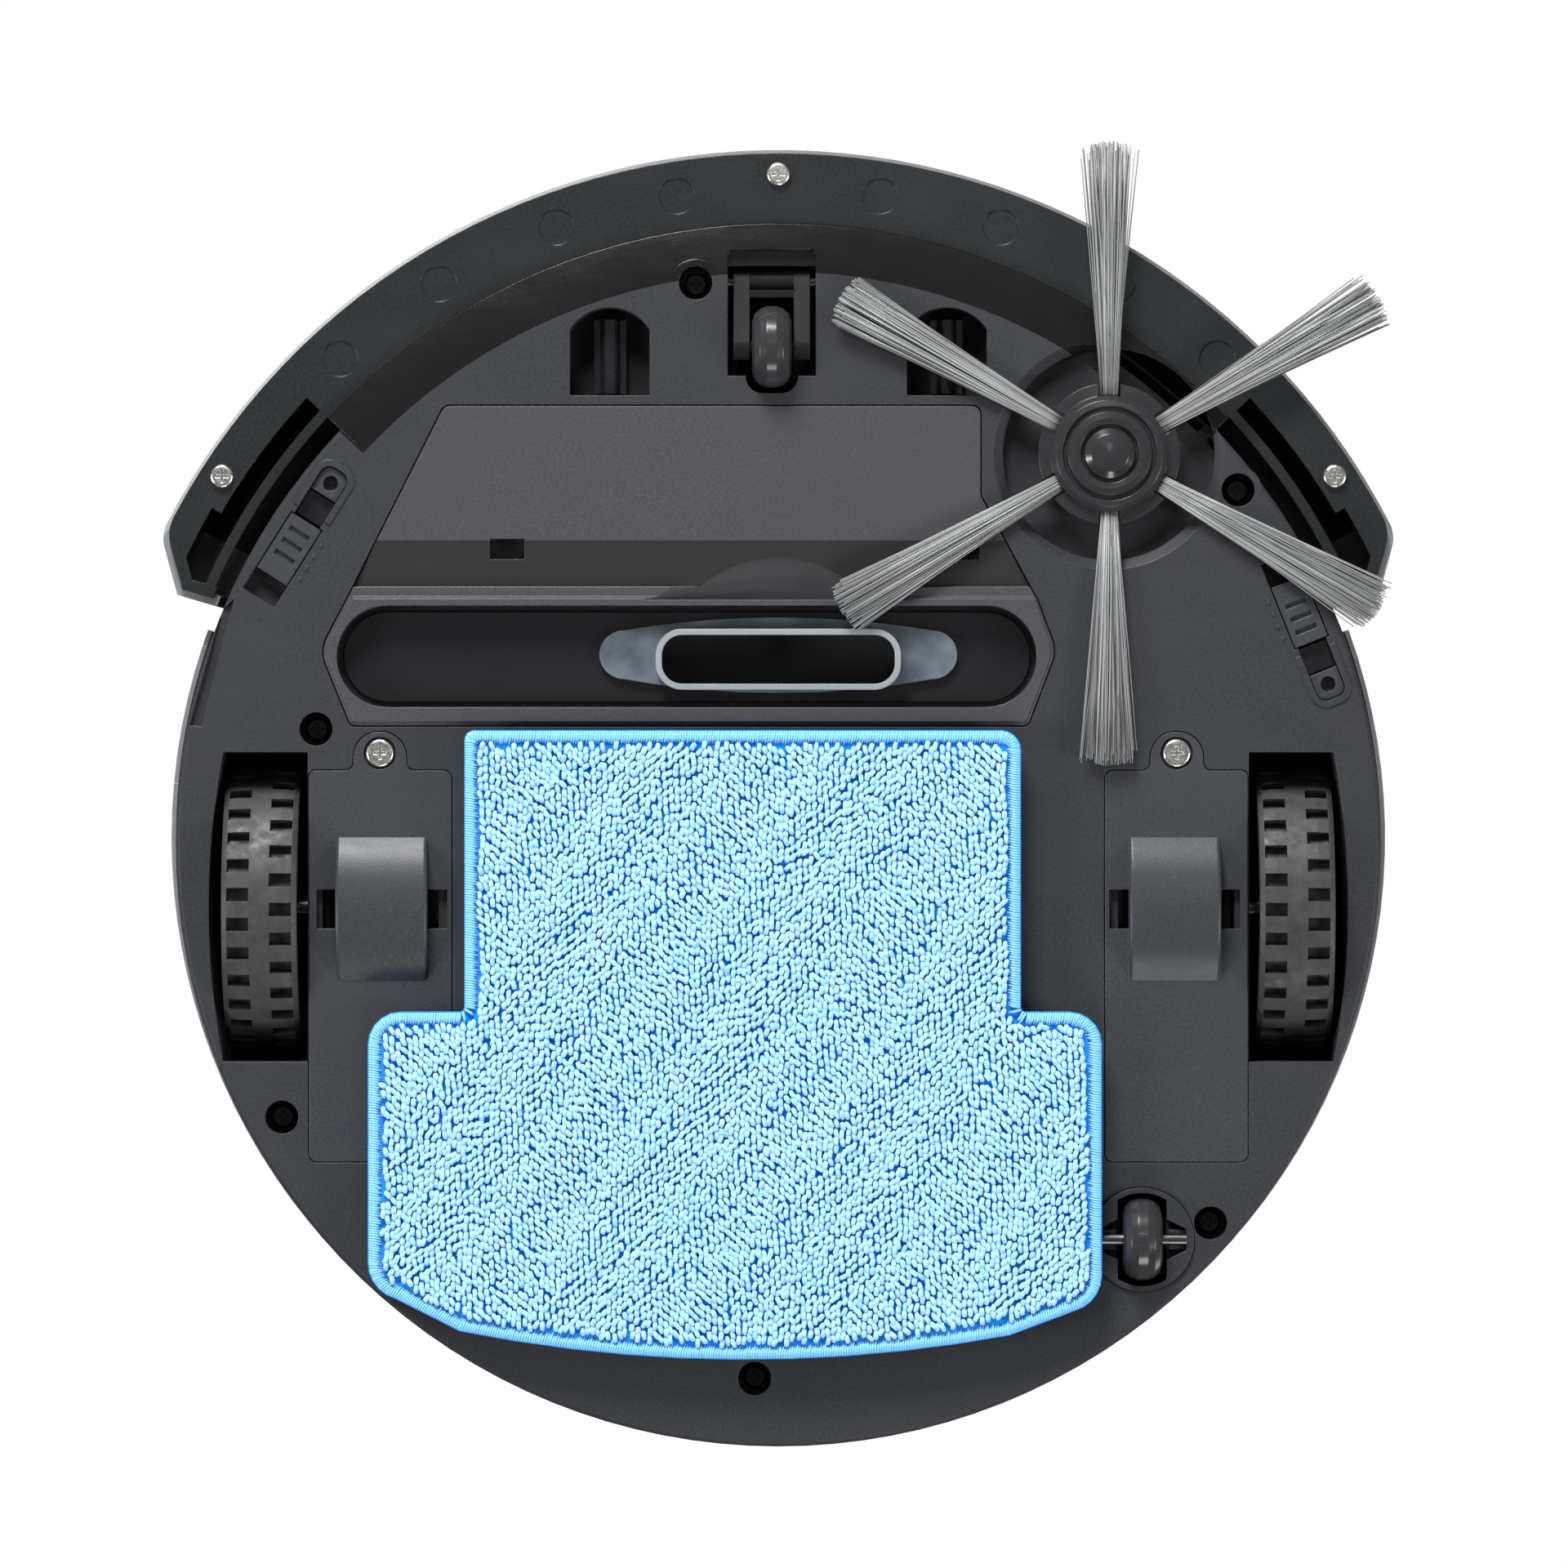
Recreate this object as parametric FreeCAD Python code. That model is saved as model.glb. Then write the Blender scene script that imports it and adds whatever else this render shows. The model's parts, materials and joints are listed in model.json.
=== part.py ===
import FreeCAD, Part
import math
import os

# Robot vacuum with a mop pad, a rear dust drawer and one side brush.  Millimetres.
# Row frame: +Z up, the origin on the floor under the middle of the round body.
# The front (bumper) faces -Y.  An "angle" is counted about the body's axis from the
# front (-Y) towards +X, in degrees.

V = FreeCAD.Vector
UP = V(0, 0, 1)

# ---------------------------------------------------------------- driving dimensions
FLOOR_GAP = 10.0            # underside of the base plate above the floor
BODY_R = 150.0              # round body
BASE_R = 148.0              # lower shell, a little smaller, set 1.5 mm to the rear
BASE_SHIFT = 1.5
BODY_H = 78.0               # top of the dome
SPLIT_Z = 24.0              # where the two shells meet
WALL = 2.2
PLATE = 2.5                 # thickness of the base plate
PLATE_TOP = FLOOR_GAP + PLATE
LEDGE = 1.8                 # ledge that carries a cover in the base plate
FIT = 0.25                  # gap round a cover

NECK_R = 143.5              # body wall behind the bumper
NECK_ANGLE = 70.0
NECK_TOP = 62.7
BUMPER_R = 170.0
BUMPER_ANGLE = 63.6         # where the outer arc ends
BUMPER_TOP = 62.2
LIP_Z = 14.6                # underside of the bumper's lip
LIP_R = 149.5
LIP_ANGLE = 47.0
COVER_Z = 16.2              # lower edge of the bumper's cover
SPRING_ANGLES = (-25, 25)
BUMPER_SCREWS = (-57.0, 0.0, 57.0)
SKIRT_R = 151.0
SKIRT_START_R = 139.0

WHEEL_R = 35.0
WHEEL_W = 18.4
WHEEL_X = 127.0
WHEEL_Y = 17.5
WHEEL_Z = WHEEL_R
TREAD_NOTCHES = 30
AXLE_R = 2.5
RUNNING = 0.05              # radial clearance of a shaft in its bush

ROLLER_R = 10.0
ROLLER_W = 9.6
FRONT_ROLLER = (-1.6, -120.5)
FRONT_PIVOT = (-137.0, 17.8)    # y and z of the arm's pivot
REAR_ROLLER = (89.3, 98.6)
PIN_R = 1.5

BRUSH = (81.2, -94.2)
BRUSH_WELL_R = 26.0
BRUSH_REACH = 70.6
TUFTS = 6

SENSOR_R = 139.4
SENSOR_ANGLES = {"left": -51.8, "right": 74.2}

BIN_W = 140.0
BIN_FRONT = 32.0
BIN_Z = (24.6, 62.0)
DUCT_Z = (23.2, 34.0)         # air duct between the inlet and the dust drawer
BIN_FACE_ANGLE = 45.0

MOP_PEGS = [(-55.0, -10.0), (40.0, -10.0), (-60.0, 105.0), (45.0, 105.0)]
FAN_AT = (0.0, -4.0)
BUTTON_AT = (0.0, -108.0)
RECEIVER_Y = -128.5         # infrared receiver, behind the bumper
COVER_R = 138.0             # round top cover, let into the side shell

SOCKET_ANGLE = -74.5
SOCKET_BORE_R = 2.75
SOCKET_DEPTH = 9.0
ROCKER_ANGLE = -80.6
SIDE_Z = 44.0               # height of the socket and the rocker
PANEL_GAP = 0.12            # round the panel that holds them

GEAR_MODULE = 1.0           # wheel gear and the small wheel of the idler
FAST_MODULE = 0.8           # big wheel of the idler and the motor's pinion
WHEEL_TEETH = 52
IDLER_SMALL_TEETH = 12
IDLER_BIG_TEETH = 40
PINION_TEETH = 12
BRUSH_TEETH = 26
PRESSURE_ANGLE = 25.0
BACKLASH = 0.16


# ---------------------------------------------------------------- helpers
def box(x0, x1, y0, y1, z0, z1):
    return Part.makeBox(x1 - x0, y1 - y0, z1 - z0, V(x0, y0, z0))


def cyl(r, z0, z1, x=0.0, y=0.0):
    return Part.makeCylinder(r, z1 - z0, V(x, y, z0), UP)


def rod_x(r, x0, x1, y, z):
    return Part.makeCylinder(r, x1 - x0, V(x0, y, z), V(1, 0, 0))


def rod_y(r, y0, y1, x, z):
    return Part.makeCylinder(r, y1 - y0, V(x, y0, z), V(0, 1, 0))


def at(angle, r, z=0.0):
    a = math.radians(angle)
    return V(r * math.sin(a), -r * math.cos(a), z)


def fuse(shape, *others):
    return shape.fuse(list(others)).removeSplitter() if others else shape


def turned(shape, angle, centre=(0, 0)):
    copy = shape.copy()
    copy.rotate(V(centre[0], centre[1], 0), UP, angle)
    return copy


def moved(shape, x=0.0, y=0.0, z=0.0):
    copy = shape.copy()
    copy.translate(V(x, y, z))
    return copy


def mirrored(shape):
    return shape.mirror(V(0, 0, 0), V(1, 0, 0))


def prism(wire, z0, z1):
    face = Part.Face(wire)
    face.translate(V(0, 0, z0 - wire.BoundBox.ZMin))
    return face.extrude(V(0, 0, z1 - z0))


def grown(wire, offset):
    return wire.makeOffset2D(offset) if abs(offset) > 1e-9 else wire


def outline(corners):
    """Closed wire in the XY plane; each corner is (x, y, radius)."""
    edges, count = [], len(corners)
    starts, ends = [], []
    for i, (x, y, radius) in enumerate(corners):
        here = V(x, y, 0)
        before = V(*corners[i - 1][:2], 0) - here
        after = V(*corners[(i + 1) % count][:2], 0) - here
        if radius <= 0:
            starts.append(here)
            ends.append(here)
            continue
        half = before.getAngle(after) / 2
        reach = radius / math.tan(half)
        before.normalize()
        after.normalize()
        first, last = here + before * reach, here + after * reach
        middle = before + after
        middle.normalize()
        centre = here + middle * (radius / math.sin(half))
        edges.append(Part.Arc(first, centre - middle * radius, last).toShape())
        starts.append(first)
        ends.append(last)
    for i in range(count):
        a, b = ends[i], starts[(i + 1) % count]
        if a.distanceToPoint(b) > 1e-6:
            edges.append(Part.LineSegment(a, b).toShape())
    return Part.Wire(Part.__sortEdges__(edges))


def spun(points, a0=-180.0, a1=180.0, centre=(0, 0)):
    """Profile of (r, z) points turned about a vertical axis from angle a0 to a1."""
    corners = [at(a0, r, z) + V(centre[0], centre[1], 0) for r, z in points]
    face = Part.Face(Part.makePolygon(corners + corners[:1]))
    return face.revolve(V(centre[0], centre[1], 0), UP, a1 - a0)


def ring(r0, r1, a0, a1, z0, z1):
    return spun([(r0, z0), (r1, z0), (r1, z1), (r0, z1)], a0, a1)


def capsule_x(x0, x1, p, q, radius):
    """Bar with round ends in the YZ plane, from x0 to x1; p and q are (y, z)."""
    ends = [rod_x(radius, x0, x1, *p), rod_x(radius, x0, x1, *q)]
    side = V(0, -(q[1] - p[1]), q[0] - p[0])
    side.normalize()
    a, b = V(x0, *p), V(x0, *q)
    corners = [a + side * radius, b + side * radius, b - side * radius, a - side * radius]
    web = Part.Face(Part.makePolygon(corners + corners[:1])).extrude(V(x1 - x0, 0, 0))
    return fuse(web, *ends)


def rounded_edges(shape, radius, keep):
    """Fillets the edges that keep(edge) picks, or returns the shape unchanged."""
    edges = [e for e in shape.Edges if keep(e)]
    try:
        done = shape.makeFillet(radius, edges)
        return done if done.isValid() and done.Volume > 0 else shape
    except Exception:
        return shape


def is_vertical(edge):
    box_ = edge.BoundBox
    return box_.ZLength > 0.5 and box_.XLength < 1e-4 and box_.YLength < 1e-4


def gear(module, teeth, width, bore, phase=0.0):
    """Spur gear about Z from z=0, with stub involute teeth; phase turns it in degrees."""
    pitch_r = module * teeth / 2
    pressure = math.radians(PRESSURE_ANGLE)
    base_r = pitch_r * math.cos(pressure)
    tip_r, root_r = pitch_r + 0.8 * module, pitch_r - 1.05 * module
    half_tooth = math.pi / (2 * teeth) - BACKLASH / 2 / pitch_r
    at_pitch = math.tan(pressure) - pressure

    def flank(r):
        roll = math.sqrt(max(0.0, (r / base_r) ** 2 - 1))
        return half_tooth + at_pitch - (roll - math.atan(roll))

    start_r = max(root_r, base_r)
    radii = [start_r + (tip_r - start_r) * k / 5 for k in range(6)]
    solid = cyl(root_r, 0, width)
    tooth_points = [V(0.9 * root_r, -0.9 * root_r * math.tan(flank(start_r)), 0)]
    tooth_points += [V(r * math.cos(flank(r)), -r * math.sin(flank(r)), 0) for r in radii]
    upper = [V(p.x, -p.y, 0) for p in reversed(tooth_points)]
    tooth_wire = Part.makePolygon(tooth_points + upper + tooth_points[:1])
    tooth = Part.Face(tooth_wire).extrude(V(0, 0, width))
    solid = solid.fuse([turned(tooth, 360.0 * k / teeth) for k in range(teeth)])
    if bore:
        solid = solid.cut(cyl(bore, -1, width + 1))
    return turned(solid.removeSplitter(), phase)


def laid_on_x(shape, x, y, z):
    """Stands a shape made about +Z on the X axis, its z=0 face at x."""
    copy = shape.copy()
    copy.rotate(V(0, 0, 0), V(0, 1, 0), 90)
    copy.translate(V(x, y, z))
    return copy


def coil(radius, wire_r, length, turns, start, direction):
    helix = Part.makeHelix(length / turns, length, radius)
    profile = Part.Wire(Part.makeCircle(wire_r, V(radius, 0, 0), V(0, 1, 0)))
    solid = Part.Wire(helix).makePipeShell([profile], True, True)
    solid.Placement = FreeCAD.Placement(start, FreeCAD.Rotation(UP, direction))
    return solid


PARTS = {}


def keep(name, *shapes):
    """One node; more than one shape is a group of separate solids."""
    PARTS[name] = list(shapes)


# ---------------------------------------------------------------- outlines of the underside
def wheel_opening(offset=0.0):
    inner, outer, bulge = WHEEL_X - 11.5, WHEEL_X + 9.3, WHEEL_X + 12.8
    y0, y1 = WHEEL_Y - 38.5, WHEEL_Y + 37.5
    edges = [
        Part.LineSegment(V(inner, y0, 0), V(outer, y0, 0)).toShape(),
        Part.Arc(V(outer, y0, 0), V(bulge, WHEEL_Y, 0), V(outer, y1, 0)).toShape(),
        Part.LineSegment(V(outer, y1, 0), V(inner, y1, 0)).toShape(),
        Part.LineSegment(V(inner, y1, 0), V(inner, y0, 0)).toShape(),
    ]
    return grown(Part.Wire(edges), offset)


def drive_cover_outline(offset=0.0):
    x0, x1, y0, y1, tab_x, tab_w = 80.2, 115.2, -16.5, 79.5, 97.8, 6.5
    return grown(outline([
        (x0, y0, 2), (tab_x - tab_w, y0, 2), (tab_x - tab_w, y0 - 9.5, 6.2),
        (tab_x + tab_w, y0 - 9.5, 6.2), (tab_x + tab_w, y0, 2), (x1, y0, 1.5),
        (x1, y1, 2), (x0, y1, 2)]), offset)


COVER_SCREW = (97.8, -20.8)
INLET_Y = (-57.0, -32.0)
INLET_X = (-108.4, 63.4)
LATCH_X = (-66.6, 45.0)
FRAME_CORNERS = [(-104.9, -59.6), (-112.4, -46.0), (-104.9, -27.6),
                 (61.2, -27.6), (68.2, -46.0), (63.4, -59.6)]


def inlet_cover_outline(offset=0.0):
    door = [(-82.0, -106.0, 2.5), (49.6, -106.0, 2), (49.6, -84.0, 3)]
    right = [(63.4, -58.5, 2), (68.2, -46.0, 8), (61.2, -27.6, 1.5)]
    left = [(-104.9, -27.6, 1.5), (-112.4, -46.0, 8), (-105.3, -59.6, 2)]
    return grown(outline(door + right + left), offset)


def arch_outline(offset=0.0):
    half, y0, y1, shoulder = 9.8, -130.2, -108.6, -124.8
    edges = [
        Part.Arc(V(-half, shoulder, 0), V(0, y0, 0), V(half, shoulder, 0)).toShape(),
        Part.LineSegment(V(half, shoulder, 0), V(half, y1, 0)).toShape(),
        Part.LineSegment(V(half, y1, 0), V(-half, y1, 0)).toShape(),
        Part.LineSegment(V(-half, y1, 0), V(-half, shoulder, 0)).toShape(),
    ]
    return grown(Part.Wire(edges), offset)


ARCH_X = 41.4


def stadium(x0, x1, y0, y1, offset=0.0):
    r = (y1 - y0) / 2 - 0.01
    return grown(outline([(x0, y0, r), (x1, y0, r), (x1, y1, r), (x0, y1, r)]), offset)


def mop_outline(offset=0.0):
    narrow = (-76.8, 59.4)
    wide = (-100.6, 79.4)
    front, step = -26.4, 42.5
    rear_side, rear_mid = 113.0, 128.0
    left = [(narrow[0], front, 2.5), (narrow[0], step, 1.0), (wide[0], step, 8.0)]
    right = [(wide[1], step, 8.0), (narrow[1], step, 1.0), (narrow[1], front, 5.0)]
    rear = [(wide[0], rear_side, 9.0), (-55.0, 124.5, 60.0), (-8.0, rear_mid, 120.0),
            (45.0, 124.5, 60.0), (wide[1], rear_side + 3.0, 10.0)]
    return grown(outline(left + rear + right), offset)


# ---------------------------------------------------------------- body envelopes
def dome(r, top, corner_drop=2.7, side_drop=14.5, bottom=SPLIT_Z):
    """Round body under a shallow dome with a soft shoulder."""
    shoulder_r = r - 12.0
    crown = V(0, 0, top)
    shoulder = V(0, -shoulder_r, top - corner_drop)
    side = V(0, -r, top - side_drop)
    edges = [
        Part.Arc(crown, V(0, -shoulder_r / 2, top - corner_drop * 0.25), shoulder).toShape(),
        Part.Arc(shoulder, V(0, -(r - 3.1), top - side_drop * 0.47), side).toShape(),
        Part.LineSegment(side, V(0, -r, bottom)).toShape(),
        Part.LineSegment(V(0, -r, bottom), V(0, 0, bottom)).toShape(),
        Part.LineSegment(V(0, 0, bottom), crown).toShape(),
    ]
    return Part.Face(Part.Wire(edges)).revolve(V(0, 0, 0), UP, 360)


def neck(r, top, angle=NECK_ANGLE, bottom=0.0):
    return ring(r, BODY_R + 30, -angle, angle, bottom, top)


SCREW_HOLES = [(-20.3, -136.2), (112.9, -85.4), (-113.5, -26.7),
               (-121.9, 68.6), (106.1, 94.6), (-5.8, 132.7)]
SCREW_HOLE_R = 4.1
SCREW_HOLE_TOP = 18.0


def wheel_well(offset, start_z=FLOOR_GAP):
    """Space over a drive wheel, arched like the wheel and grown by an offset."""
    opening = prism(wheel_opening(offset), start_z, 80)
    r, wide, ledge_z = WHEEL_R + 1.0 + offset, 45.0, WHEEL_Z + offset
    half = math.sqrt(r * r - offset * offset)
    left, right = V(100, WHEEL_Y - half, ledge_z), V(100, WHEEL_Y + half, ledge_z)
    corners = [left, V(100, WHEEL_Y - wide, ledge_z), V(100, WHEEL_Y - wide, 0),
               V(100, WHEEL_Y + wide, 0), V(100, WHEEL_Y + wide, ledge_z), right]
    edges = [Part.LineSegment(a, b).toShape() for a, b in zip(corners, corners[1:])]
    edges.append(Part.Arc(right, V(100, WHEEL_Y, WHEEL_Z + r), left).toShape())
    arch = Part.Face(Part.Wire(edges)).extrude(V(45, 0, 0))
    return opening.common(arch)


def sensor_frame(side, shape):
    """Places a shape made with its slot along +Y, the sensor end at the origin."""
    angle = SENSOR_ANGLES[side]
    spot = at(angle - 5.9, SENSOR_R)
    copy = moved(shape, 0, -15.0, 0)
    copy.rotate(V(0, 0, 0), UP, (angle - 5.9) + 90)
    copy.translate(spot)
    return copy


def sensor_slot(depth_top, offset=0.0):
    narrow = prism(grown(outline([(-3.7, -3.6, 2.6), (3.7, -3.6, 2.6), (3.7, 14, 0),
                                  (-3.7, 14, 0)]), offset), FLOOR_GAP, depth_top)
    wide = box(-4.6 - offset, 4.6 + offset, 11.0 - offset, 33.4 + offset, FLOOR_GAP, depth_top)
    return fuse(narrow, wide)


def bottom_shell():
    """Flat floor with an upright wall, and the sloped skirt under the bumper's lip."""
    disc = cyl(BASE_R, FLOOR_GAP, SPLIT_Z, 0, BASE_SHIFT)
    disc = disc.makeChamfer(0.9, [e for e in disc.Edges if e.BoundBox.ZMax < FLOOR_GAP + 0.1])
    hollow = cyl(BASE_R - WALL, PLATE_TOP, SPLIT_Z + 1, 0, BASE_SHIFT)
    shell = disc.cut(hollow)
    front_cut = ring(SKIRT_START_R - 0.1, BODY_R + 20, -LIP_ANGLE, LIP_ANGLE, 0, SPLIT_Z + 2)
    skirt = spun([
        (SKIRT_START_R - 1, FLOOR_GAP), (SKIRT_START_R, FLOOR_GAP), (SKIRT_R, 12.9),
        (SKIRT_R, 14.0), (NECK_R, 14.6), (NECK_R, SPLIT_Z), (NECK_R - WALL, SPLIT_Z),
        (NECK_R - WALL, 13.6), (SKIRT_START_R - 1, PLATE_TOP)], -LIP_ANGLE, LIP_ANGLE)
    shell = shell.cut(front_cut).fuse(skirt)
    for sign in (-1, 1):
        a0, a1 = sorted((sign * (LIP_ANGLE - 1.0), sign * (NECK_ANGLE + 1.0)))
        ledge = ring(NECK_R - WALL, BASE_R - 1.0, a0, a1, SPLIT_Z - 2, SPLIT_Z)
        shell = shell.fuse(ledge)
    return shell


# Each *_features function gives what is added to the base plate and what is then cut.
def wheel_features():
    """Wheel wells, drive cover seats with their screw posts, and the front sensor arches."""
    adds, cuts = [], []
    for side, placed in ((1, lambda shape: shape), (-1, mirrored)):
        adds.append(placed(wheel_well(1.5)))
        cuts.append(placed(wheel_well(0, FLOOR_GAP - 3)))
        cuts.append(placed(rod_x(AXLE_R + 2.5, WHEEL_X - 16, WHEEL_X - 10, WHEEL_Y, WHEEL_Z)))
        ledge = prism(drive_cover_outline(2.0), PLATE_TOP - 0.5, PLATE_TOP + LEDGE)
        ledge = ledge.common(box(0, WHEEL_X - 12.2, -60, 100, 0, 40))
        adds.append(placed(ledge))
        cuts.append(placed(prism(drive_cover_outline(FIT), 0, PLATE_TOP)))
        cuts.append(placed(box(83.5, 112.0, -13.0, 76.5, 0, 20)))
        adds.append(placed(cyl(4.6, PLATE_TOP, 26, *COVER_SCREW)))
        cuts.append(placed(cyl(1.4, 0, 24, *COVER_SCREW)))
        adds.append(moved(prism(arch_outline(1.6), FLOOR_GAP, 21.6), side * ARCH_X))
        cuts.append(moved(prism(arch_outline(), FLOOR_GAP - 3, 20.0), side * ARCH_X))
    return adds, cuts


def inlet_features():
    seat_top = PLATE_TOP + LEDGE
    adds = [prism(inlet_cover_outline(2.5), PLATE_TOP - 0.5, seat_top)]
    cuts = [prism(inlet_cover_outline(FIT + 0.1), 0, PLATE_TOP),
            prism(inlet_cover_outline(-3.0), 0, seat_top + 1),
            prism(stadium(*INLET_X, *INLET_Y, 2.0), 0, seat_top + 1)]
    return adds, cuts


def front_roller_features():
    """Pocket for the front roller's arm, with the arm's pivot through its side walls."""
    fx = FRONT_ROLLER[0]
    half = 10.8
    pocket = outline([(fx - half, -144.6, 1.2), (fx + half, -144.6, 1.2),
                      (fx + half, -113.4, 1.2), (fx - half, -113.4, 1.2)])
    toe = prism(outline([(fx - 6.4, -125, 0), (fx + 6.4, -125, 0), (fx + 6.4, -109.2, 4),
                         (fx - 6.4, -109.2, 4)]), FLOOR_GAP - 1, 22.0)
    toe_outline = outline([(fx - 12.4, -141.9, 2), (fx + 12.4, -141.9, 2), (fx + 12.4, -111.8, 2),
                           (fx + 8.0, -111.8, 2), (fx + 8.0, -107.4, 5), (fx - 8.0, -107.4, 5),
                           (fx - 8.0, -111.8, 2), (fx - 12.4, -111.8, 2)])
    adds = [prism(toe_outline, PLATE_TOP - 1, 23.6)]
    cuts = [prism(pocket, 0, 13.4), box(fx - half, fx + half, -140.6, -113.4, 10, 22.0),
            toe, rod_x(PIN_R, fx - 14, fx + 14, *FRONT_PIVOT)]
    return adds, cuts


def screw_features():
    adds, cuts = [], []
    for x, y in SCREW_HOLES:
        adds.append(cyl(SCREW_HOLE_R + 1.7, FLOOR_GAP, SCREW_HOLE_TOP + 2, x, y))
        cuts.append(cyl(SCREW_HOLE_R, 0, SCREW_HOLE_TOP, x, y))
        cuts.append(cyl(1.6, 0, SCREW_HOLE_TOP + 3, x, y))
    return adds, cuts


def brush_features():
    """Round well of the side brush, with a slanted rim."""
    inside = cyl(NECK_R - 0.1, 0, 40)
    floor_disc = cyl(BRUSH_WELL_R + 1.6, FLOOR_GAP, 16.8, *BRUSH).common(inside)
    rim = Part.makeCone(BRUSH_WELL_R + 2.4, BRUSH_WELL_R, 2.2, V(*BRUSH, FLOOR_GAP), UP)
    return [floor_disc], [cyl(BRUSH_WELL_R, 0, 15.0, *BRUSH), rim, cyl(4.0, 0, 20, *BRUSH)]


def rear_features():
    """Rear roller's socket, sensor slots, a foil recess and the holes for the mop's pegs."""
    inside = cyl(BASE_R - 1, 0, 40, 0, BASE_SHIFT)
    adds = [cyl(14.6, FLOOR_GAP, 24, *REAR_ROLLER).common(inside)]
    cuts = [cyl(12.9, 0, 22.5, *REAR_ROLLER)]
    for side in SENSOR_ANGLES:
        adds.append(sensor_frame(side, sensor_slot(16.0, 1.4)).common(inside))
        cuts.append(sensor_frame(side, moved(sensor_slot(14.5), 0, 0, -0.5)))
    cuts.append(prism(outline([(-133.6, -58.6, 0), (-141.6, -27.2, 0), (-144.6, -27.6, 0),
                               (-136.6, -56.0, 0)]), FLOOR_GAP - 1, FLOOR_GAP + 1.4))
    for x, y in MOP_PEGS:
        cuts.append(box(x - 4.6, x + 4.6, y - 2.1, y + 2.1, 0, 20))
    return adds, cuts


def sensor_marks():
    """Raised rim and a row of four dots beside each cliff sensor."""
    marks = []
    for side in SENSOR_ANGLES:
        for k in range(4):
            dot = cyl(0.5, FLOOR_GAP - 0.25, FLOOR_GAP + 0.5, 6.2, 14.5 + 3.2 * k)
            marks.append(sensor_frame(side, dot))
        slot_rim = prism(outline([(-5.2, -5.2, 4), (5.2, -5.2, 4), (5.2, 9, 0), (-5.2, 9, 0)]),
                         FLOOR_GAP - 0.4, FLOOR_GAP + 0.5)
        slot_hole = prism(outline([(-3.7, -3.6, 2.6), (3.7, -3.6, 2.6), (3.7, 12, 0),
                                   (-3.7, 12, 0)]), 0, FLOOR_GAP + 1)
        marks.append(sensor_frame(side, slot_rim.cut(slot_hole)))
    return marks


def base_plate():
    adds, cuts = [], []
    for features in (wheel_features, inlet_features, front_roller_features,
                     screw_features, brush_features, rear_features):
        more_adds, more_cuts = features()
        adds += more_adds
        cuts += more_cuts
    shell = bottom_shell().fuse(adds).cut(cuts)
    return shell.fuse(sensor_marks()).removeSplitter()


def dome_skin():
    """Side wall, dome and the wall behind the bumper, before the openings are cut."""
    outer = dome(BODY_R, BODY_H).cut(neck(NECK_R, NECK_TOP))
    inner = dome(BODY_R - WALL, BODY_H - 4.4, bottom=SPLIT_Z - 1)
    inner = inner.cut(neck(NECK_R - WALL, NECK_TOP + WALL, NECK_ANGLE + 1.0))
    return outer.cut(inner)


def side_shell():
    seat = ring(COVER_R - 3.5, COVER_R + 3.0, -180, 180, 67.6, 70.0)
    shell = dome_skin().cut(cyl(COVER_R, 60, 90)).fuse(seat)
    tools = [wheel_well(1.8), mirrored(wheel_well(1.8))]
    tools.append(ring(BODY_R - 12, BODY_R + 5, 180 - BIN_FACE_ANGLE - 0.4,
                      180 + BIN_FACE_ANGLE + 0.4, SPLIT_Z - 1, 64.0))
    tools.append(Part.makeCylinder(5.0, 20, at(SOCKET_ANGLE, 130, SIDE_Z), at(SOCKET_ANGLE, 1)))
    tools.append(turned(box(-7.0, 7.0, -BODY_R - 2, -BODY_R + 8, SIDE_Z - 5, SIDE_Z + 5),
                        ROCKER_ANGLE))
    for k in range(6):
        slot = box(-1.0, 1.0, -BODY_R - 2, -BODY_R + 6, SIDE_Z - 9, SIDE_Z + 9)
        tools.append(turned(slot, 73.6 + 1.7 * k))
    return shell.cut(tools)


def shell_and_socket_panel():
    """The side shell, and the small panel round the socket and the rocker let into it."""
    shell = side_shell()
    a0, a1, top = ROCKER_ANGLE - 4.2, SOCKET_ANGLE + 2.9, 60.0
    gap = math.degrees(PANEL_GAP / BODY_R)
    panel = shell.common(ring(140, 155, a0, a1, SPLIT_Z - 1, top))
    opening = ring(140, 155, a0 - gap, a1 + gap, SPLIT_Z - 2, top + PANEL_GAP)
    return shell.cut(opening), panel


def top_cover():
    disc = dome_skin().common(cyl(COVER_R - 0.3, 60, 90))
    x, y = BUTTON_AT
    return disc.cut([cyl(12.7, 40, 90, x, y), cyl(6.2, 40, 90, 0, RECEIVER_Y),
                     wheel_well(1.8), mirrored(wheel_well(1.8))])


# ---------------------------------------------------------------- inlet cover and nozzle
NOZZLE_MOUTH = [(-28.6, -49.8, 5.0), (28.6, -49.8, 5.0), (28.6, -37.8, 5.0), (-28.6, -37.8, 5.0)]


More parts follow.
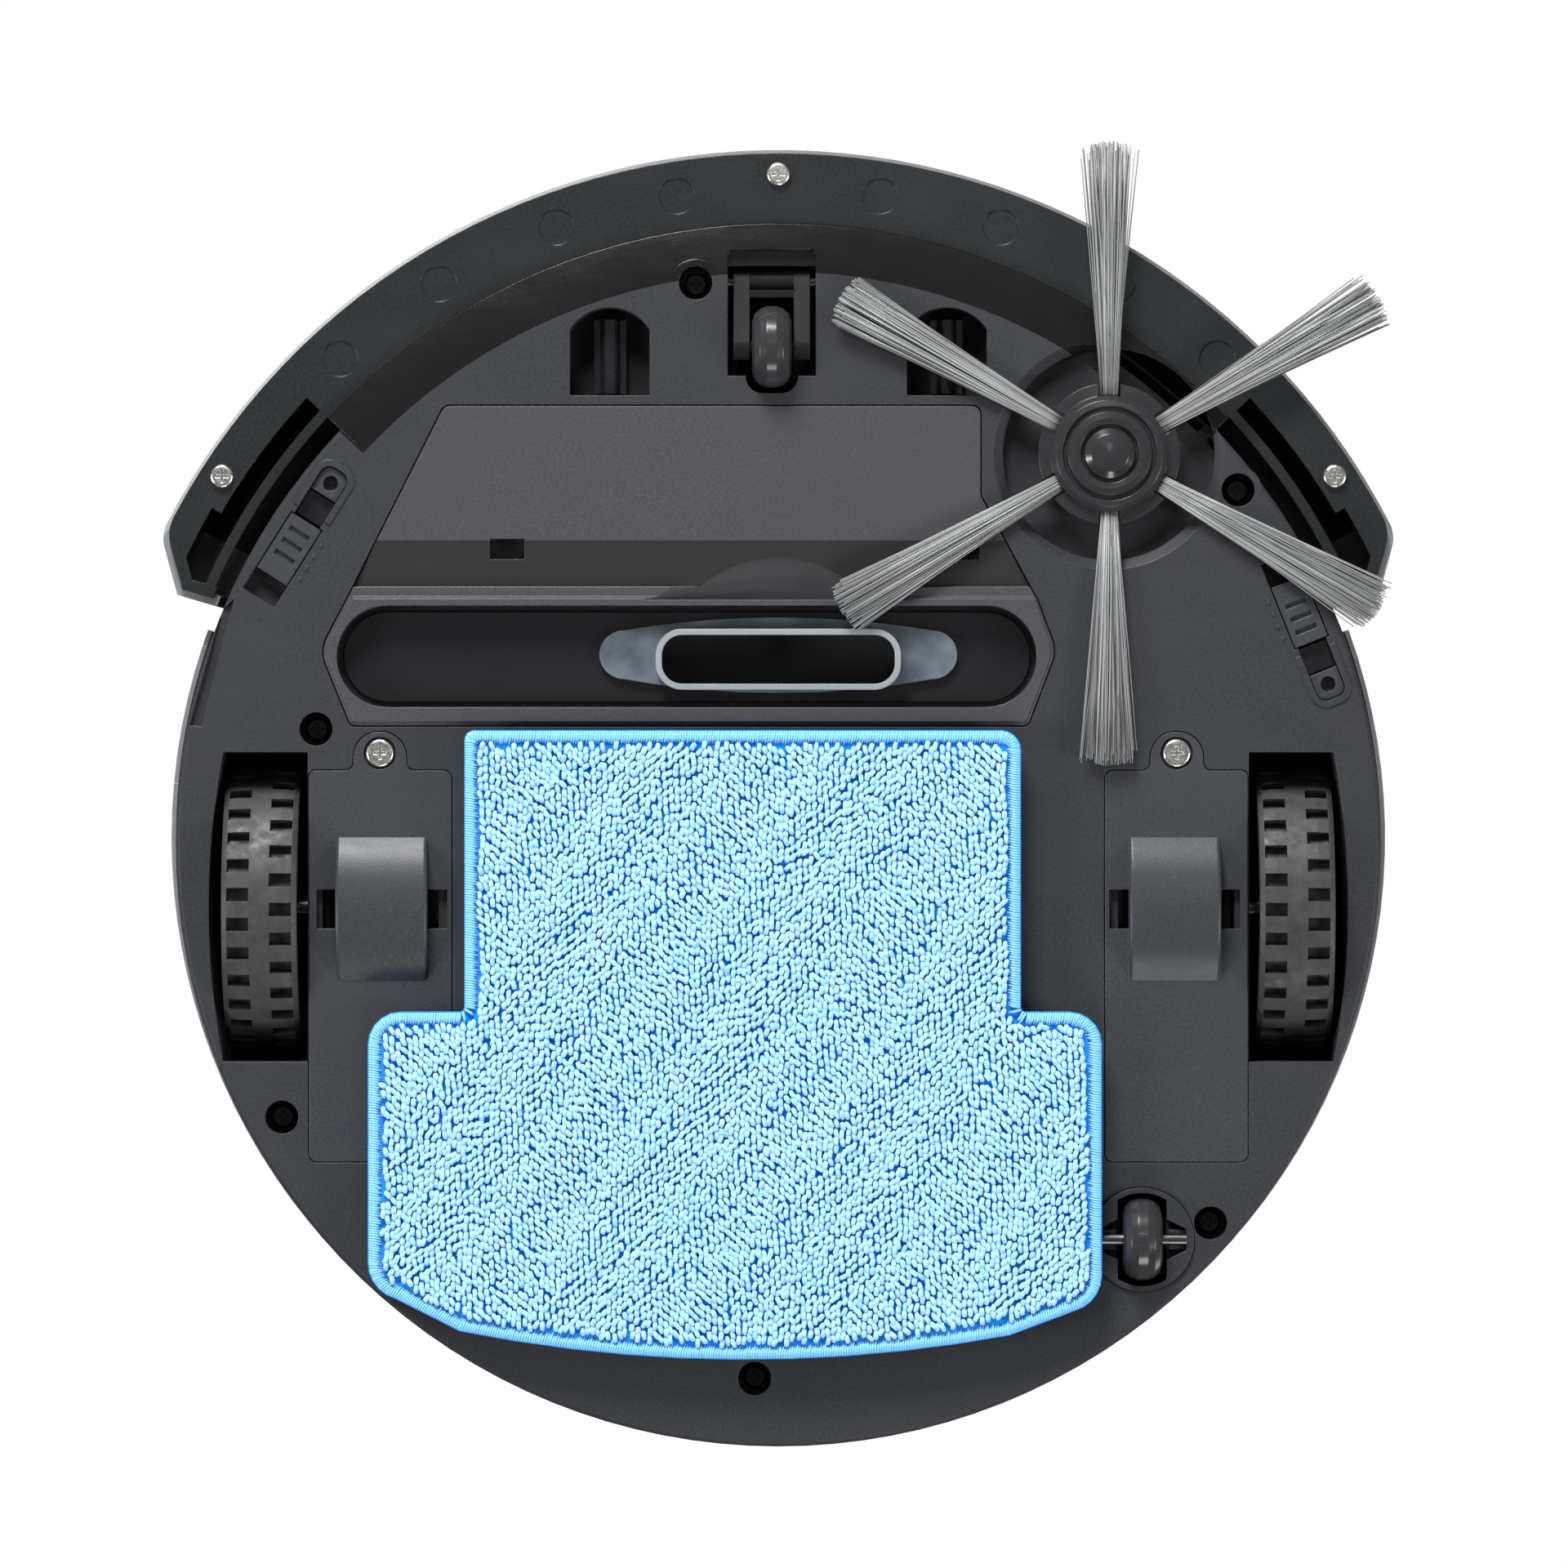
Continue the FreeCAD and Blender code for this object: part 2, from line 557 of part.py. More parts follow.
def inlet_cover():
    plate = prism(inlet_cover_outline(), FLOOR_GAP, PLATE_TOP)
    frame_wire = outline([(x, y, 8 if abs(y + 46) < 1 else 1.5) for x, y in FRAME_CORNERS])
    frame = prism(grown(frame_wire, -0.3), FLOOR_GAP - 0.8, PLATE_TOP)
    frame = frame.makeChamfer(0.7, [e for e in frame.Edges
                                    if e.BoundBox.ZMax < FLOOR_GAP - 0.7])
    tray = prism(stadium(*INLET_X, *INLET_Y, 1.6), FLOOR_GAP, 18.6)
    scoop_back = box(-36, 36, -72, -58, PLATE_TOP - 0.5, 17.0)
    pockets = [box(x - 5.6, x + 5.6, -74.7, -67.1, PLATE_TOP - 0.5, 16.2) for x in LATCH_X]
    cover = plate.fuse([frame, tray, scoop_back] + pockets)
    hollow = prism(stadium(*INLET_X, *INLET_Y), 0, 16.2)
    groove = prism(stadium(*INLET_X, *INLET_Y), 16, 17.0).cut(
        prism(stadium(*INLET_X, *INLET_Y, -1.4), 15, 18))
    mouth = prism(grown(outline(NOZZLE_MOUTH), 1.6), 10, 20)
    slope = Part.Face(Part.makePolygon([
        V(-120, -73.0, FLOOR_GAP), V(-120, -61.6, FLOOR_GAP), V(-120, -61.6, FLOOR_GAP + 1.3),
        V(-120, -73.0, FLOOR_GAP)])).extrude(V(240, 0, 0))
    rise, scoop_r = V(0, 1, 0.36).normalize(), 115.0
    across = V(0, -0.36, 1).normalize()
    low_line = V(0, -70.5, FLOOR_GAP) - across * scoop_r - rise * 10
    scoop = Part.makeCylinder(scoop_r, 40, low_line, rise).common(
        box(-34, 34, -73, -58.4, 0, 16))
    latches = [box(x - 4.3, x + 4.3, -73.4, -68.4, 0, 15.0) for x in LATCH_X]
    return cover.cut([hollow, groove, mouth, slope, scoop] + latches)


def inlet_nozzle():
    """Clear rubber lip: a lens-shaped foot that rises to the rim of the mouth."""
    tips = [cyl(6.0, 14.6, 16.1, x, -45.0) for x in (-38.0, 38.0)]
    lens = Part.Wire([
        Part.Arc(V(-38, -51, 0), V(0, -54.2, 0), V(38, -51, 0)).toShape(),
        Part.LineSegment(V(38, -51, 0), V(38, -39, 0)).toShape(),
        Part.Arc(V(38, -39, 0), V(0, -35.6, 0), V(-38, -39, 0)).toShape(),
        Part.LineSegment(V(-38, -39, 0), V(-38, -51, 0)).toShape()])
    rim = grown(outline(NOZZLE_MOUTH), 1.5)
    skirt = fuse(prism(lens, 14.6, 16.1), *tips)
    body = prism(rim, 9.4, 16.1)
    return skirt.fuse(body).cut(prism(outline(NOZZLE_MOUTH), 0, 30)).removeSplitter()


def inlet_duct():
    low, high = DUCT_Z
    outer = fuse(box(-31, 31, -52, -34, 18.8, high), box(-31, 31, -35, BIN_FRONT - 0.6, low, high))
    inner = fuse(box(-29.4, 29.4, -50.4, -35.6, 10, high - 1.6),
                 box(-29.4, 29.4, -37, BIN_FRONT + 1, low + 1.6, high - 1.6))
    return outer.cut(inner)


# ---------------------------------------------------------------- drive units
def drive_cover():
    plate = prism(drive_cover_outline(), FLOOR_GAP, PLATE_TOP)
    blister_r = math.hypot(17.6, WHEEL_Z - FLOOR_GAP)
    x0, x1 = 86.0, 108.6
    blister = rod_x(blister_r, x0, x1, WHEEL_Y, WHEEL_Z).common(
        box(x0, x1, WHEEL_Y - 40, WHEEL_Y + 40, 0, PLATE_TOP))
    blister = rounded_edges(blister, 1.0, lambda e: e.BoundBox.ZMin < FLOOR_GAP - 3
                            and e.BoundBox.XLength < 1e-3)
    hollow = rod_x(blister_r - 1.6, x0 + 1.6, x1 - 1.6, WHEEL_Y, WHEEL_Z)
    windows = [box(a, b, WHEEL_Y - 4.8, WHEEL_Y + 4.8, 0, 20) for a, b in
               ((x0 - 4.7, x0), (x1, x1 + 4.7))]
    head = cyl(4.0, 0, FLOOR_GAP + 1.2, *COVER_SCREW)
    shank = cyl(1.8, 0, 20, *COVER_SCREW)
    return plate.fuse(blister).cut([hollow, head, shank] + windows)


def pan_head_screw(x, y, z, head_r, length, shank_r, depth=0.9):
    """Cross-head screw that points up; z is the underside of the flange it holds."""
    head = cyl(head_r, z - 1.5, z, x, y)
    head = rounded_edges(head, 0.8, lambda e: e.BoundBox.ZMax < z - 1.4)
    cross = [box(x - 1.6, x + 1.6, y - 0.35, y + 0.35, z - 2, z - 1.5 + depth),
             box(x - 0.35, x + 0.35, y - 1.6, y + 1.6, z - 2, z - 1.5 + depth)]
    return head.fuse(cyl(shank_r, z, z + length, x, y)).cut(cross)


def tyre():
    half = WHEEL_W / 2
    points = [(28.0, -half + 1), (28.0, half - 1), (30.5, half), (34.0, half), (34.7, half - 1.2),
              (WHEEL_R, half - 4), (WHEEL_R, -half + 4), (34.7, -half + 1.2), (34.0, -half),
              (30.5, -half)]
    body = spun(points)
    notches = []
    step = 360.0 / TREAD_NOTCHES
    for row, offset in ((-1, 0.0), (1, step / 2)):
        low, high = sorted((row * 2.5, row * 7.9))
        for k in range(TREAD_NOTCHES):
            notch = box(WHEEL_R - 2.6, WHEEL_R + 2, -1.65, 1.65, low, high)
            notches.append(turned(notch, offset + step * k))
    return body.cut(notches)


def hub():
    half = 8.0
    disc = spun([(0, -half + 3), (9, -half + 3), (9, -half), (11, -half), (12.5, -half + 5),
                 (25, -half + 5), (26, -half), (28, -half), (28, half), (26, half),
                 (25, half - 5), (9, half - 5), (8, half + 1.5), (0, half + 1.5)])
    holes = [cyl(3.6, -20, 20, 18.5 * math.cos(a), 18.5 * math.sin(a))
             for a in (2 * math.pi * k / 6 for k in range(6))]
    return disc.cut(holes + [cyl(AXLE_R, -20, 20)])


GEAR_X = (95.0, 101.5)
FAST_X = (104.2, 107.4)
IDLER_YZ = (WHEEL_Y + GEAR_MODULE * (WHEEL_TEETH + IDLER_SMALL_TEETH) / 2, WHEEL_Z)
MOTOR_REACH = FAST_MODULE * (IDLER_BIG_TEETH + PINION_TEETH) / 2
MOTOR_LEAN = 20.0
MOTOR_YZ = (IDLER_YZ[0] + MOTOR_REACH * math.cos(math.radians(MOTOR_LEAN)),
            IDLER_YZ[1] + MOTOR_REACH * math.sin(math.radians(MOTOR_LEAN)))
IDLER_PIN_R = 1.6


def meshed_phase(followed_teeth, followed_phase, teeth, direction):
    """Phase that puts a tooth gap of this gear on the followed gear's tooth.
    direction is the angle from the followed gear's centre to this one's."""
    pitch_turn = (followed_phase - direction) * followed_teeth / teeth
    return direction + 180 + 180.0 / teeth - pitch_turn


def drive_train():
    """Wheel gear, idler and pinion for the +X side, with their axes along +X."""
    # laid_on_x turns the gear plane's +Y to +Y and its +X to -Z.
    to_idler = 90.0
    to_motor = 90.0 - (-MOTOR_LEAN)
    wheel = gear(GEAR_MODULE, WHEEL_TEETH, GEAR_X[1] - GEAR_X[0], AXLE_R, 0.0)
    boss = cyl(7, -2.0, 0).cut(cyl(AXLE_R, -3, 1))
    wheel = wheel.fuse(boss).removeSplitter()
    small_phase = meshed_phase(WHEEL_TEETH, 0.0, IDLER_SMALL_TEETH, to_idler)
    small = gear(GEAR_MODULE, IDLER_SMALL_TEETH, GEAR_X[1] - GEAR_X[0] + 0.6, 0, small_phase)
    big_phase = 4.0
    big = gear(FAST_MODULE, IDLER_BIG_TEETH, FAST_X[1] - FAST_X[0], 0, big_phase)
    pinion_phase = meshed_phase(IDLER_BIG_TEETH, big_phase, PINION_TEETH, to_motor)
    pinion = gear(FAST_MODULE, PINION_TEETH, FAST_X[1] - FAST_X[0] + 0.6, 0, pinion_phase)
    idler = fuse(
        laid_on_x(small, GEAR_X[0], *IDLER_YZ), laid_on_x(big, FAST_X[0], *IDLER_YZ),
        rod_x(4.6, GEAR_X[0] + 1, FAST_X[0] + 1, *IDLER_YZ),
        rod_x(IDLER_PIN_R, 90.2, 111.4, *IDLER_YZ))
    motor_pinion = fuse(laid_on_x(pinion, FAST_X[0] - 0.2, *MOTOR_YZ),
                        rod_x(1.0, 98.0, FAST_X[0] + 1, *MOTOR_YZ))
    return laid_on_x(wheel, GEAR_X[0], WHEEL_Y, WHEEL_Z), idler, motor_pinion


def gearbox_frame():
    """Three side plates on pillars; they carry the axle, the idler and the motor."""
    def plate(x0, x1, corners):
        wire = outline([(-z, y, r) for y, z, r in corners])
        return laid_on_x(prism(wire, 0, x1 - x0), x0, 0, 0)

    long_plate = [(6, 24, 4), (6, 50, 6), (16, 69, 6), (30, 69, 6), (82.6, 58, 5),
                  (82.6, 20, 3)]
    plates = [plate(90.0, 91.8, long_plate), plate(102.0, 103.6, long_plate),
              plate(110.0, 111.8, long_plate)]
    pillars = [rod_x(2.4, 90.5, 111, *spot) for spot in ((19, 65.6), (78.6, 24), (78.6, 56.4))]
    body = fuse(plates[0], *plates[1:], *pillars)
    holes = [
        rod_x(4.5, 80, 120, WHEEL_Y, WHEEL_Z),
        rod_x(IDLER_PIN_R + RUNNING, 80, 120, *IDLER_YZ),
        rod_x(7.6, 101, 104, *IDLER_YZ),
        rod_x(4.0, 101, 104, *MOTOR_YZ),
        rod_x(11.3, 80, 98, *MOTOR_YZ)]
    return body.cut(holes)


def bush(x0, x1):
    body = rod_x(4.5, x0, x1, WHEEL_Y, WHEEL_Z)
    flange = rod_x(6.0, x0 - 1.0, x0, WHEEL_Y, WHEEL_Z)
    return body.fuse(flange).removeSplitter().cut(
        rod_x(AXLE_R + RUNNING, x0 - 5, x1 + 5, WHEEL_Y, WHEEL_Z))


def motor_can(radius, length):
    can = cyl(radius, 0, length)
    can = rounded_edges(can, 1.5, lambda e: e.BoundBox.ZMax < 0.1)
    nose = cyl(3.4, length - 0.5, length + 1.4)
    return can.fuse([nose, cyl(3.0, -1.6, 0.5)]).removeSplitter()


# ---------------------------------------------------------------- side brush
def brush_hub():
    cap = spun([(0, 3.4), (2.5, 3.6), (4.6, 4.2), (6.1, 5.3), (6.4, 6.6), (7.0, 6.6), (7.2, 5.4),
                (8.6, 5.0), (10.2, 5.5), (10.6, 6.6), (11.2, 6.6), (11.6, 5.8), (13.0, 5.9),
                (14.2, 7.0), (14.4, 8.2), (17.4, 8.6), (17.4, 10.2), (12, 11.4), (6, 14.2),
                (0, 14.2)], centre=BRUSH)
    slots = [turned(box(BRUSH[0] + 13.6, BRUSH[0] + 20, BRUSH[1] - 2.7, BRUSH[1] + 2.7, 7.3, 12),
                    30 + 60 * k, BRUSH) for k in range(TUFTS)]
    return cap.cut(slots + [cyl(2.5, 9, 20, *BRUSH)])


def brush_tuft():
    """A flat bundle that widens outwards and droops a little, its end rounded."""
    near, far, corner = 13.7, BRUSH_REACH, BRUSH_REACH - 3.0
    plan = [V(near, -2.2, 0), V(corner, -6.0, 0), V(corner, 6.0, 0), V(near, 2.2, 0)]
    edges = [Part.LineSegment(plan[0], plan[1]).toShape(),
             Part.Arc(plan[1], V(far, 0, 0), plan[2]).toShape(),
             Part.LineSegment(plan[2], plan[3]).toShape(),
             Part.LineSegment(plan[3], plan[0]).toShape()]
    flat = prism(Part.Wire(edges), 0, 20)
    side = Part.Face(Part.makePolygon([
        V(near, -10, 7.5), V(far, -10, 2.6), V(far, -10, 5.6), V(near, -10, 9.9),
        V(near, -10, 7.5)])).extrude(V(0, 20, 0))
    return moved(flat.common(side), *BRUSH)


def brush_drive():
    lean = 130.8                    # from the brush axis to its motor, counted from +X
    reach = GEAR_MODULE * (BRUSH_TEETH + PINION_TEETH) / 2
    motor = (BRUSH[0] + reach * math.cos(math.radians(lean)),
             BRUSH[1] + reach * math.sin(math.radians(lean)))
    big = gear(GEAR_MODULE, BRUSH_TEETH, 6, 0, 0.0)
    shaft = fuse(moved(big, *BRUSH, 22), cyl(3.95, 16.9 - 2.3, 30, *BRUSH),
                 cyl(2.5, 9.2, 34, *BRUSH))
    phase = meshed_phase(BRUSH_TEETH, 0.0, PINION_TEETH, lean)
    pinion = gear(GEAR_MODULE, PINION_TEETH, 6.6, 0, phase)
    pinion = fuse(moved(pinion, *motor, 21.7), cyl(1.0, 24, 34, *motor))
    return shaft, pinion, motor


def brush_gearbox(motor):
    def housing(grow, z0, z1):
        a = cyl(15.4 + grow, z0, z1, *BRUSH)
        b = cyl(8.6 + grow, z0, z1, *motor)
        return fuse(a, b)
    shell = housing(1.6, 17.0, 32.5).cut(housing(0, 18.8, 30.8))
    shell = shell.common(cyl(NECK_R - WALL - 0.2, 0, 60))
    post = cyl(4.5, 32.5, 36, *BRUSH)
    bearing = [cyl(2.55, 29, 34.5, *BRUSH), cyl(4.0, 15, 20, *BRUSH), cyl(4.0, 29, 34, *motor)]
    return shell.fuse(post).removeSplitter().cut(bearing)


# ---------------------------------------------------------------- rollers
def roller(x, y, z):
    half = ROLLER_W / 2
    body = spun([(PIN_R + RUNNING, -half), (6.5, -half), (8.2, -half + 0.6), (9.4, -half + 1.9),
                 (ROLLER_R, -1.2), (ROLLER_R, 1.2), (9.4, half - 1.9), (8.2, half - 0.6),
                 (6.5, half), (PIN_R + RUNNING, half)])
    return laid_on_x(body, x, y, z)


def front_arm():
    fx, fy = FRONT_ROLLER
    axle = (fy, ROLLER_R)
    rails = [capsule_x(fx + a, fx + b, FRONT_PIVOT, axle, 3.2) for a, b in
             ((-9.4, -5.4), (5.4, 9.4))]
    bridge = capsule_x(fx - 9.4, fx + 9.4, FRONT_PIVOT, (FRONT_PIVOT[0] + 1.0, 18.4), 2.9)
    bar = box(fx - 6, fx + 6, -134.6, -132.8, 13.0, 18.6)
    body = fuse(rails[0], rails[1], bridge, bar)
    pin = rod_x(PIN_R, fx - 9.0, fx + 9.0, *axle)
    return body.fuse(pin).removeSplitter().cut(
        rod_x(PIN_R + RUNNING, fx - 12, fx + 12, *FRONT_PIVOT))


def rear_carrier():
    rx, ry = REAR_ROLLER
    wall = cyl(12.75, 9.2, 22.4, rx, ry).cut(cyl(11.4, 0, 21.0, rx, ry))
    blocks = []
    for sign in (-1, 1):
        x0, x1 = sorted((rx + sign * 6.0, rx + sign * 12.0))
        block = box(x0, x1, ry - 9.6, ry + 9.6, 9.2, 22).common(cyl(12.0, 0, 30, rx, ry))
        notch = Part.Face(Part.makePolygon([
            V(rx + sign * 5.5, ry - 5.2, 8), V(rx + sign * 10.8, ry - 2.6, 8),
            V(rx + sign * 10.8, ry + 2.6, 8), V(rx + sign * 5.5, ry + 5.2, 8),
            V(rx + sign * 5.5, ry - 5.2, 8)])).extrude(V(0, 0, 5.5))
        rest = box(x0 + 0.5, x1 - 0.5, ry - 2.4, ry + 2.4, 10.2, 13)
        blocks.append(block.cut(notch).fuse(rest.common(cyl(12.0, 0, 30, rx, ry))))
    return fuse(wall, *blocks).cut(rod_x(PIN_R, rx - 11.0, rx + 11.0, ry, ROLLER_R))


# ---------------------------------------------------------------- bumper
def bumper_plan(inner_r):
    """Plan of the bumper: an arc whose ends turn in towards the body, corners rounded."""
    corner, tail = at(BUMPER_ANGLE, BUMPER_R), at(68.0, 159.6)
    heel = at(67.6, inner_r)
    left = [V(-p.x, p.y, 0) for p in (corner, tail, heel)]
    edges = [
        Part.Arc(left[0], V(0, -BUMPER_R, 0), corner).toShape(),
        Part.LineSegment(corner, tail).toShape(), Part.LineSegment(tail, heel).toShape(),
        Part.Arc(heel, V(0, -inner_r, 0), left[2]).toShape(),
        Part.LineSegment(left[2], left[1]).toShape(), Part.LineSegment(left[1], left[0]).toShape()]
    solid = Part.Face(Part.Wire(edges)).extrude(V(0, 0, 80))
    return rounded_edges(solid, 12.0, lambda e: is_vertical(e)
                         and abs(math.hypot(e.BoundBox.XMin, e.BoundBox.YMin) - BUMPER_R) < 1)


def bumper_ring(inset, z0):
    """Turned section of the bumper, inset by a wall thickness."""
    r, top = BUMPER_R - inset, BUMPER_TOP - inset
    return spun([(140, z0), (r - 1.6, z0), (r - 0.4, z0 + 4), (r, z0 + 10), (r, top - 14),
                 (r - 1.2, top - 8), (r - 4.6, top - 3), (r - 9.5, top - 0.6), (r - 14, top),
                 (140, top)], -72, 72)


def plan_inset(solid, inset):
    face = min(solid.Faces, key=lambda f: f.CenterOfMass.z)
    return prism(face.OuterWire.makeOffset2D(-inset), -5, 85)


def bumper_cover():
    plan = bumper_plan(LIP_R)
    outer = bumper_ring(0, COVER_Z).common(plan)
    inner = bumper_ring(WALL, 10.0).common(plan_inset(plan, WALL))
    open_back = ring(120, 158.0, -80, 80, 0, BUMPER_TOP - WALL).common(
        plan_inset(plan, WALL).fuse(ring(120, 152.0, -66.6, 66.6, 0, 80)))
    slot = ring(BUMPER_R - 1.2, BUMPER_R + 3, -22, 22, 35, 49)
    return outer.cut([inner, open_back, slot])


def bumper_frame():
    """Lip that closes the bumper from below, with a rib that the springs push on."""
    rim = plan_inset(bumper_plan(LIP_R), WALL + 0.1)
    inside = rim.common(ring(LIP_R, BUMPER_R - 4.0, -72, 72, COVER_Z, COVER_Z + 1.6))
    under = plan_inset(bumper_plan(LIP_R), 1.6).common(
        ring(LIP_R, BUMPER_R, -72, 72, LIP_Z, COVER_Z - 0.1))
    seam = rim.common(ring(LIP_R, BUMPER_R - 4.0, -72, 72, COVER_Z - 0.2, COVER_Z + 0.1))
    lip = fuse(inside, under, seam)
    flange = plan_inset(bumper_plan(LIP_R), 4.6).fuse(ring(140, 151.6, -66.0, 66.0, 0, 80))
    for sign in (-1, 1):
        a = sorted((sign * LIP_ANGLE, sign * 60.0))
        b = sorted((sign * 59.8, sign * 72.0))
        gaps = ring(140, 158.7, *a, 0, 40).fuse(ring(140, 161.3, *b, 0, 40))
        lip = lip.cut(gaps.common(flange))
    rib = ring(161.4, 163.0, -58, 58, LIP_Z + 1.5, 40)
    pads = [turned(box(-6, 6, -162.5, -159.6, LIP_Z + 1.0, 40), a) for a in SPRING_ANGLES]
    bosses = [cyl(2.6, LIP_Z + 1, 30, at(a, 163.2).x, at(a, 163.2).y) for a in BUMPER_SCREWS]
    body = lip.fuse([rib] + pads + bosses)
    holes = [cyl(1.5, 0, 27, at(a, 163.2).x, at(a, 163.2).y) for a in BUMPER_SCREWS]
    marks = [cyl(4.4, LIP_Z - 1, LIP_Z + 0.3, at(s * a, 159.8).x, at(s * a, 159.8).y)
             for a in (9.0, 20.0, 31.5, 42.5) for s in (-1, 1)]
    return body.cut(holes + marks)


def bumper_spring(angle):
    return coil(3.6, 0.5, 14.6, 5, at(angle, NECK_R + 0.8, 30.0), at(angle, 1))


def bumper_switch(angle):
    body = box(-6.5, 6.5, -150.0, -143.7, 26, 32)
    lever = box(-5.5, -4.5, -156.5, -150, 27, 31)
    blade = box(-5.5, 6.0, -156.9, -156.3, 27, 31)
    return turned(fuse(body, lever, blade), angle)


# ---------------------------------------------------------------- dust drawer and fan
def bin_tank():
    def block(grow, z0, z1, rear):
        return box(-BIN_W / 2 + grow, BIN_W / 2 - grow, BIN_FRONT + grow, 160, z0, z1).common(
            cyl(rear, 0, 100))
    outer = block(0, *BIN_Z, 146.6)
    inner = block(1.8, BIN_Z[0] + 1.8, BIN_Z[1] - 1.8, 144.6)
    mouth = box(-29, 29, BIN_FRONT - 1, BIN_FRONT + 3, BIN_Z[0] + 1.8, 32.4)
    filter_seat = box(-46, 46, BIN_FRONT - 1, BIN_FRONT + 5, 35, 59)
    return outer.cut([inner, mouth, filter_seat, release_pocket(0.0)])


def release_pocket(grow):
    return box(-15 - grow, 15 + grow, 139, 155, 38 - grow, 50 + grow)


def bin_filter():
    frame = box(-45.8, 45.8, BIN_FRONT + 0.2, BIN_FRONT + 5.6, 35.2, 58.8)
    pleats = []
    for k in range(21):
        x = -42.0 + 4.0 * k
        pleats.append(Part.Face(Part.makePolygon([
            V(x, BIN_FRONT, 37), V(x + 3.0, BIN_FRONT, 37), V(x + 1.5, BIN_FRONT + 2.6, 37),
            V(x, BIN_FRONT, 37)])).extrude(V(0, 0, 20)))
    return frame.cut(pleats)


def bin_face():
    a0, a1 = 180 - BIN_FACE_ANGLE, 180 + BIN_FACE_ANGLE
    panel = ring(146.8, BODY_R, a0, a1, SPLIT_Z + 0.6, 63.4)
    panel = rounded_edges(panel, 1.2, lambda e: e.BoundBox.ZLength < 1e-3
                          and math.hypot(e.CenterOfMass.x, e.CenterOfMass.y) > 130
                          and abs(e.Length - 2 * math.pi * BODY_R / 4) < 1.0)
    return panel.cut(release_pocket(0.3))


def bin_release():
    cap = box(-14.6, 14.6, 143.0, 160, 38.4, 49.6).common(cyl(BODY_R - 0.6, 0, 90))
    finger_dip = Part.makeCylinder(30, 12, V(0, 176.5, 38), UP)
    return cap.cut(finger_dip)


def fan_housing():
    x, y = FAN_AT
    drum = cyl(31, 34.2, 56, x, y).cut(cyl(29.4, 35.8, 54.4, x, y))
    throat = box(-44, 44, 22, BIN_FRONT - 0.5, 35, 57)
    throat_hole = box(-42.4, 42.4, 20, BIN_FRONT, 36.6, 55.4).cut(cyl(31, 0, 90, x, y))
    horn = box(20, 62, y - 28, y - 6, 36, 54)
    horn_hole = box(16, 64, y - 26.4, y - 7.6, 37.6, 52.4)
    body = drum.fuse([throat.cut(cyl(30, 0, 90, x, y)), horn.cut(cyl(30, 0, 90, x, y))])
    return body.removeSplitter().cut([
        throat_hole, horn_hole.cut(cyl(26, 0, 90, x, y)), cyl(4, 53, 60, x, y),
        box(-20, 20, 12, 30, 37, 54)])


def impeller():
    x, y = FAN_AT
    disc = cyl(27, 50.5, 52.2, x, y)
    cone = Part.makeCone(5, 12, 10, V(x, y, 40.5), UP)
    blades = []
    for k in range(11):
        blade = box(x + 8, x + 26.5, y - 0.6, y + 0.6, 39.5, 51)
        blade = turned(blade, 28, (x + 8, y))
        blades.append(turned(blade, 360.0 / 11 * k, (x, y)))
    return fuse(disc, cone, cyl(1.6, 50, 62, x, y), *blades)


def main_board():
    board = box(-70, 54, -126, -52, 59.0, 60.6).common(cyl(138, 0, 90))
    board = board.cut([cyl(1.6, 50, 70, x, y) for x, y in ((-60, -60), (48, -60), (0, -130))])
    chips = [box(x, x + w, y, y + d, 60.6, 60.6 + h) for x, y, w, d, h in
             ((-30, -88, 14, 14, 1.6), (6, -84, 10, 7, 1.4), (24, -70, 12, 12, 1.6),
              (-56, -76, 8, 5, 1.2), (-8, -66, 20, 6, 4.5), (-52, -64, 12, 6, 4.5))]
    tins = [cyl(4, 60.6, 68, x, y) for x, y in ((38, -84), (-44, -94), (-60, -88))]
    pad = cyl(4.2, 60.6, 64.0, *BUTTON_AT)
    return fuse(board, *chips, *tins, pad)


def battery_pack():
    """Cells side by side in a shrink sleeve, on a foam strip."""
    rows = [rod_x(9.6, -84, 48, y, 27.8) for y in (-92.6, -73.4)]
    sleeve = fuse(*rows, box(-84, 48, -92.6, -73.4, 18.2, 37.4))
    return sleeve.fuse(box(-70, 40, -90, -76, 17.4, 19)).removeSplitter()


# ---------------------------------------------------------------- controls on the shell
def start_button():
    x, y = BUTTON_AT
    body = cyl(9.6, 70.5, BODY_H + 2, x, y).common(dome(BODY_R, BODY_H + 0.3))
    dish = Part.makeSphere(60, V(x, y, 76.0 + 60.4))
    return body.cut(dish).fuse(cyl(3.6, 65.8, 71, x, y)).removeSplitter()


def ring_light():
    x, y = BUTTON_AT
    return cyl(12.5, 73, BODY_H + 2, x, y).cut(cyl(10.0, 60, 90, x, y)).common(
        dome(BODY_R, BODY_H + 0.1))


def infrared_dome():
    ball = Part.makeSphere(9.0, V(0, RECEIVER_Y, 71.0))
    stem = cyl(6.0, 68, 76.8, 0, RECEIVER_Y)
    return ball.common(cyl(6.0, 70.6, 90, 0, RECEIVER_Y)).fuse(stem).removeSplitter()


def dc_socket():
    along = at(SOCKET_ANGLE, 1)
    body = Part.makeCylinder(4.8, 14.0, at(SOCKET_ANGLE, 135.5, SIDE_Z), along)
    flange = Part.makeCylinder(6.4, 1.4, at(SOCKET_ANGLE, 145.4, SIDE_Z), along)
    bore = Part.makeCylinder(SOCKET_BORE_R, SOCKET_DEPTH + 1,
                             at(SOCKET_ANGLE, 149.5 - SOCKET_DEPTH, SIDE_Z), along)
    return body.fuse(flange).removeSplitter().cut(bore)


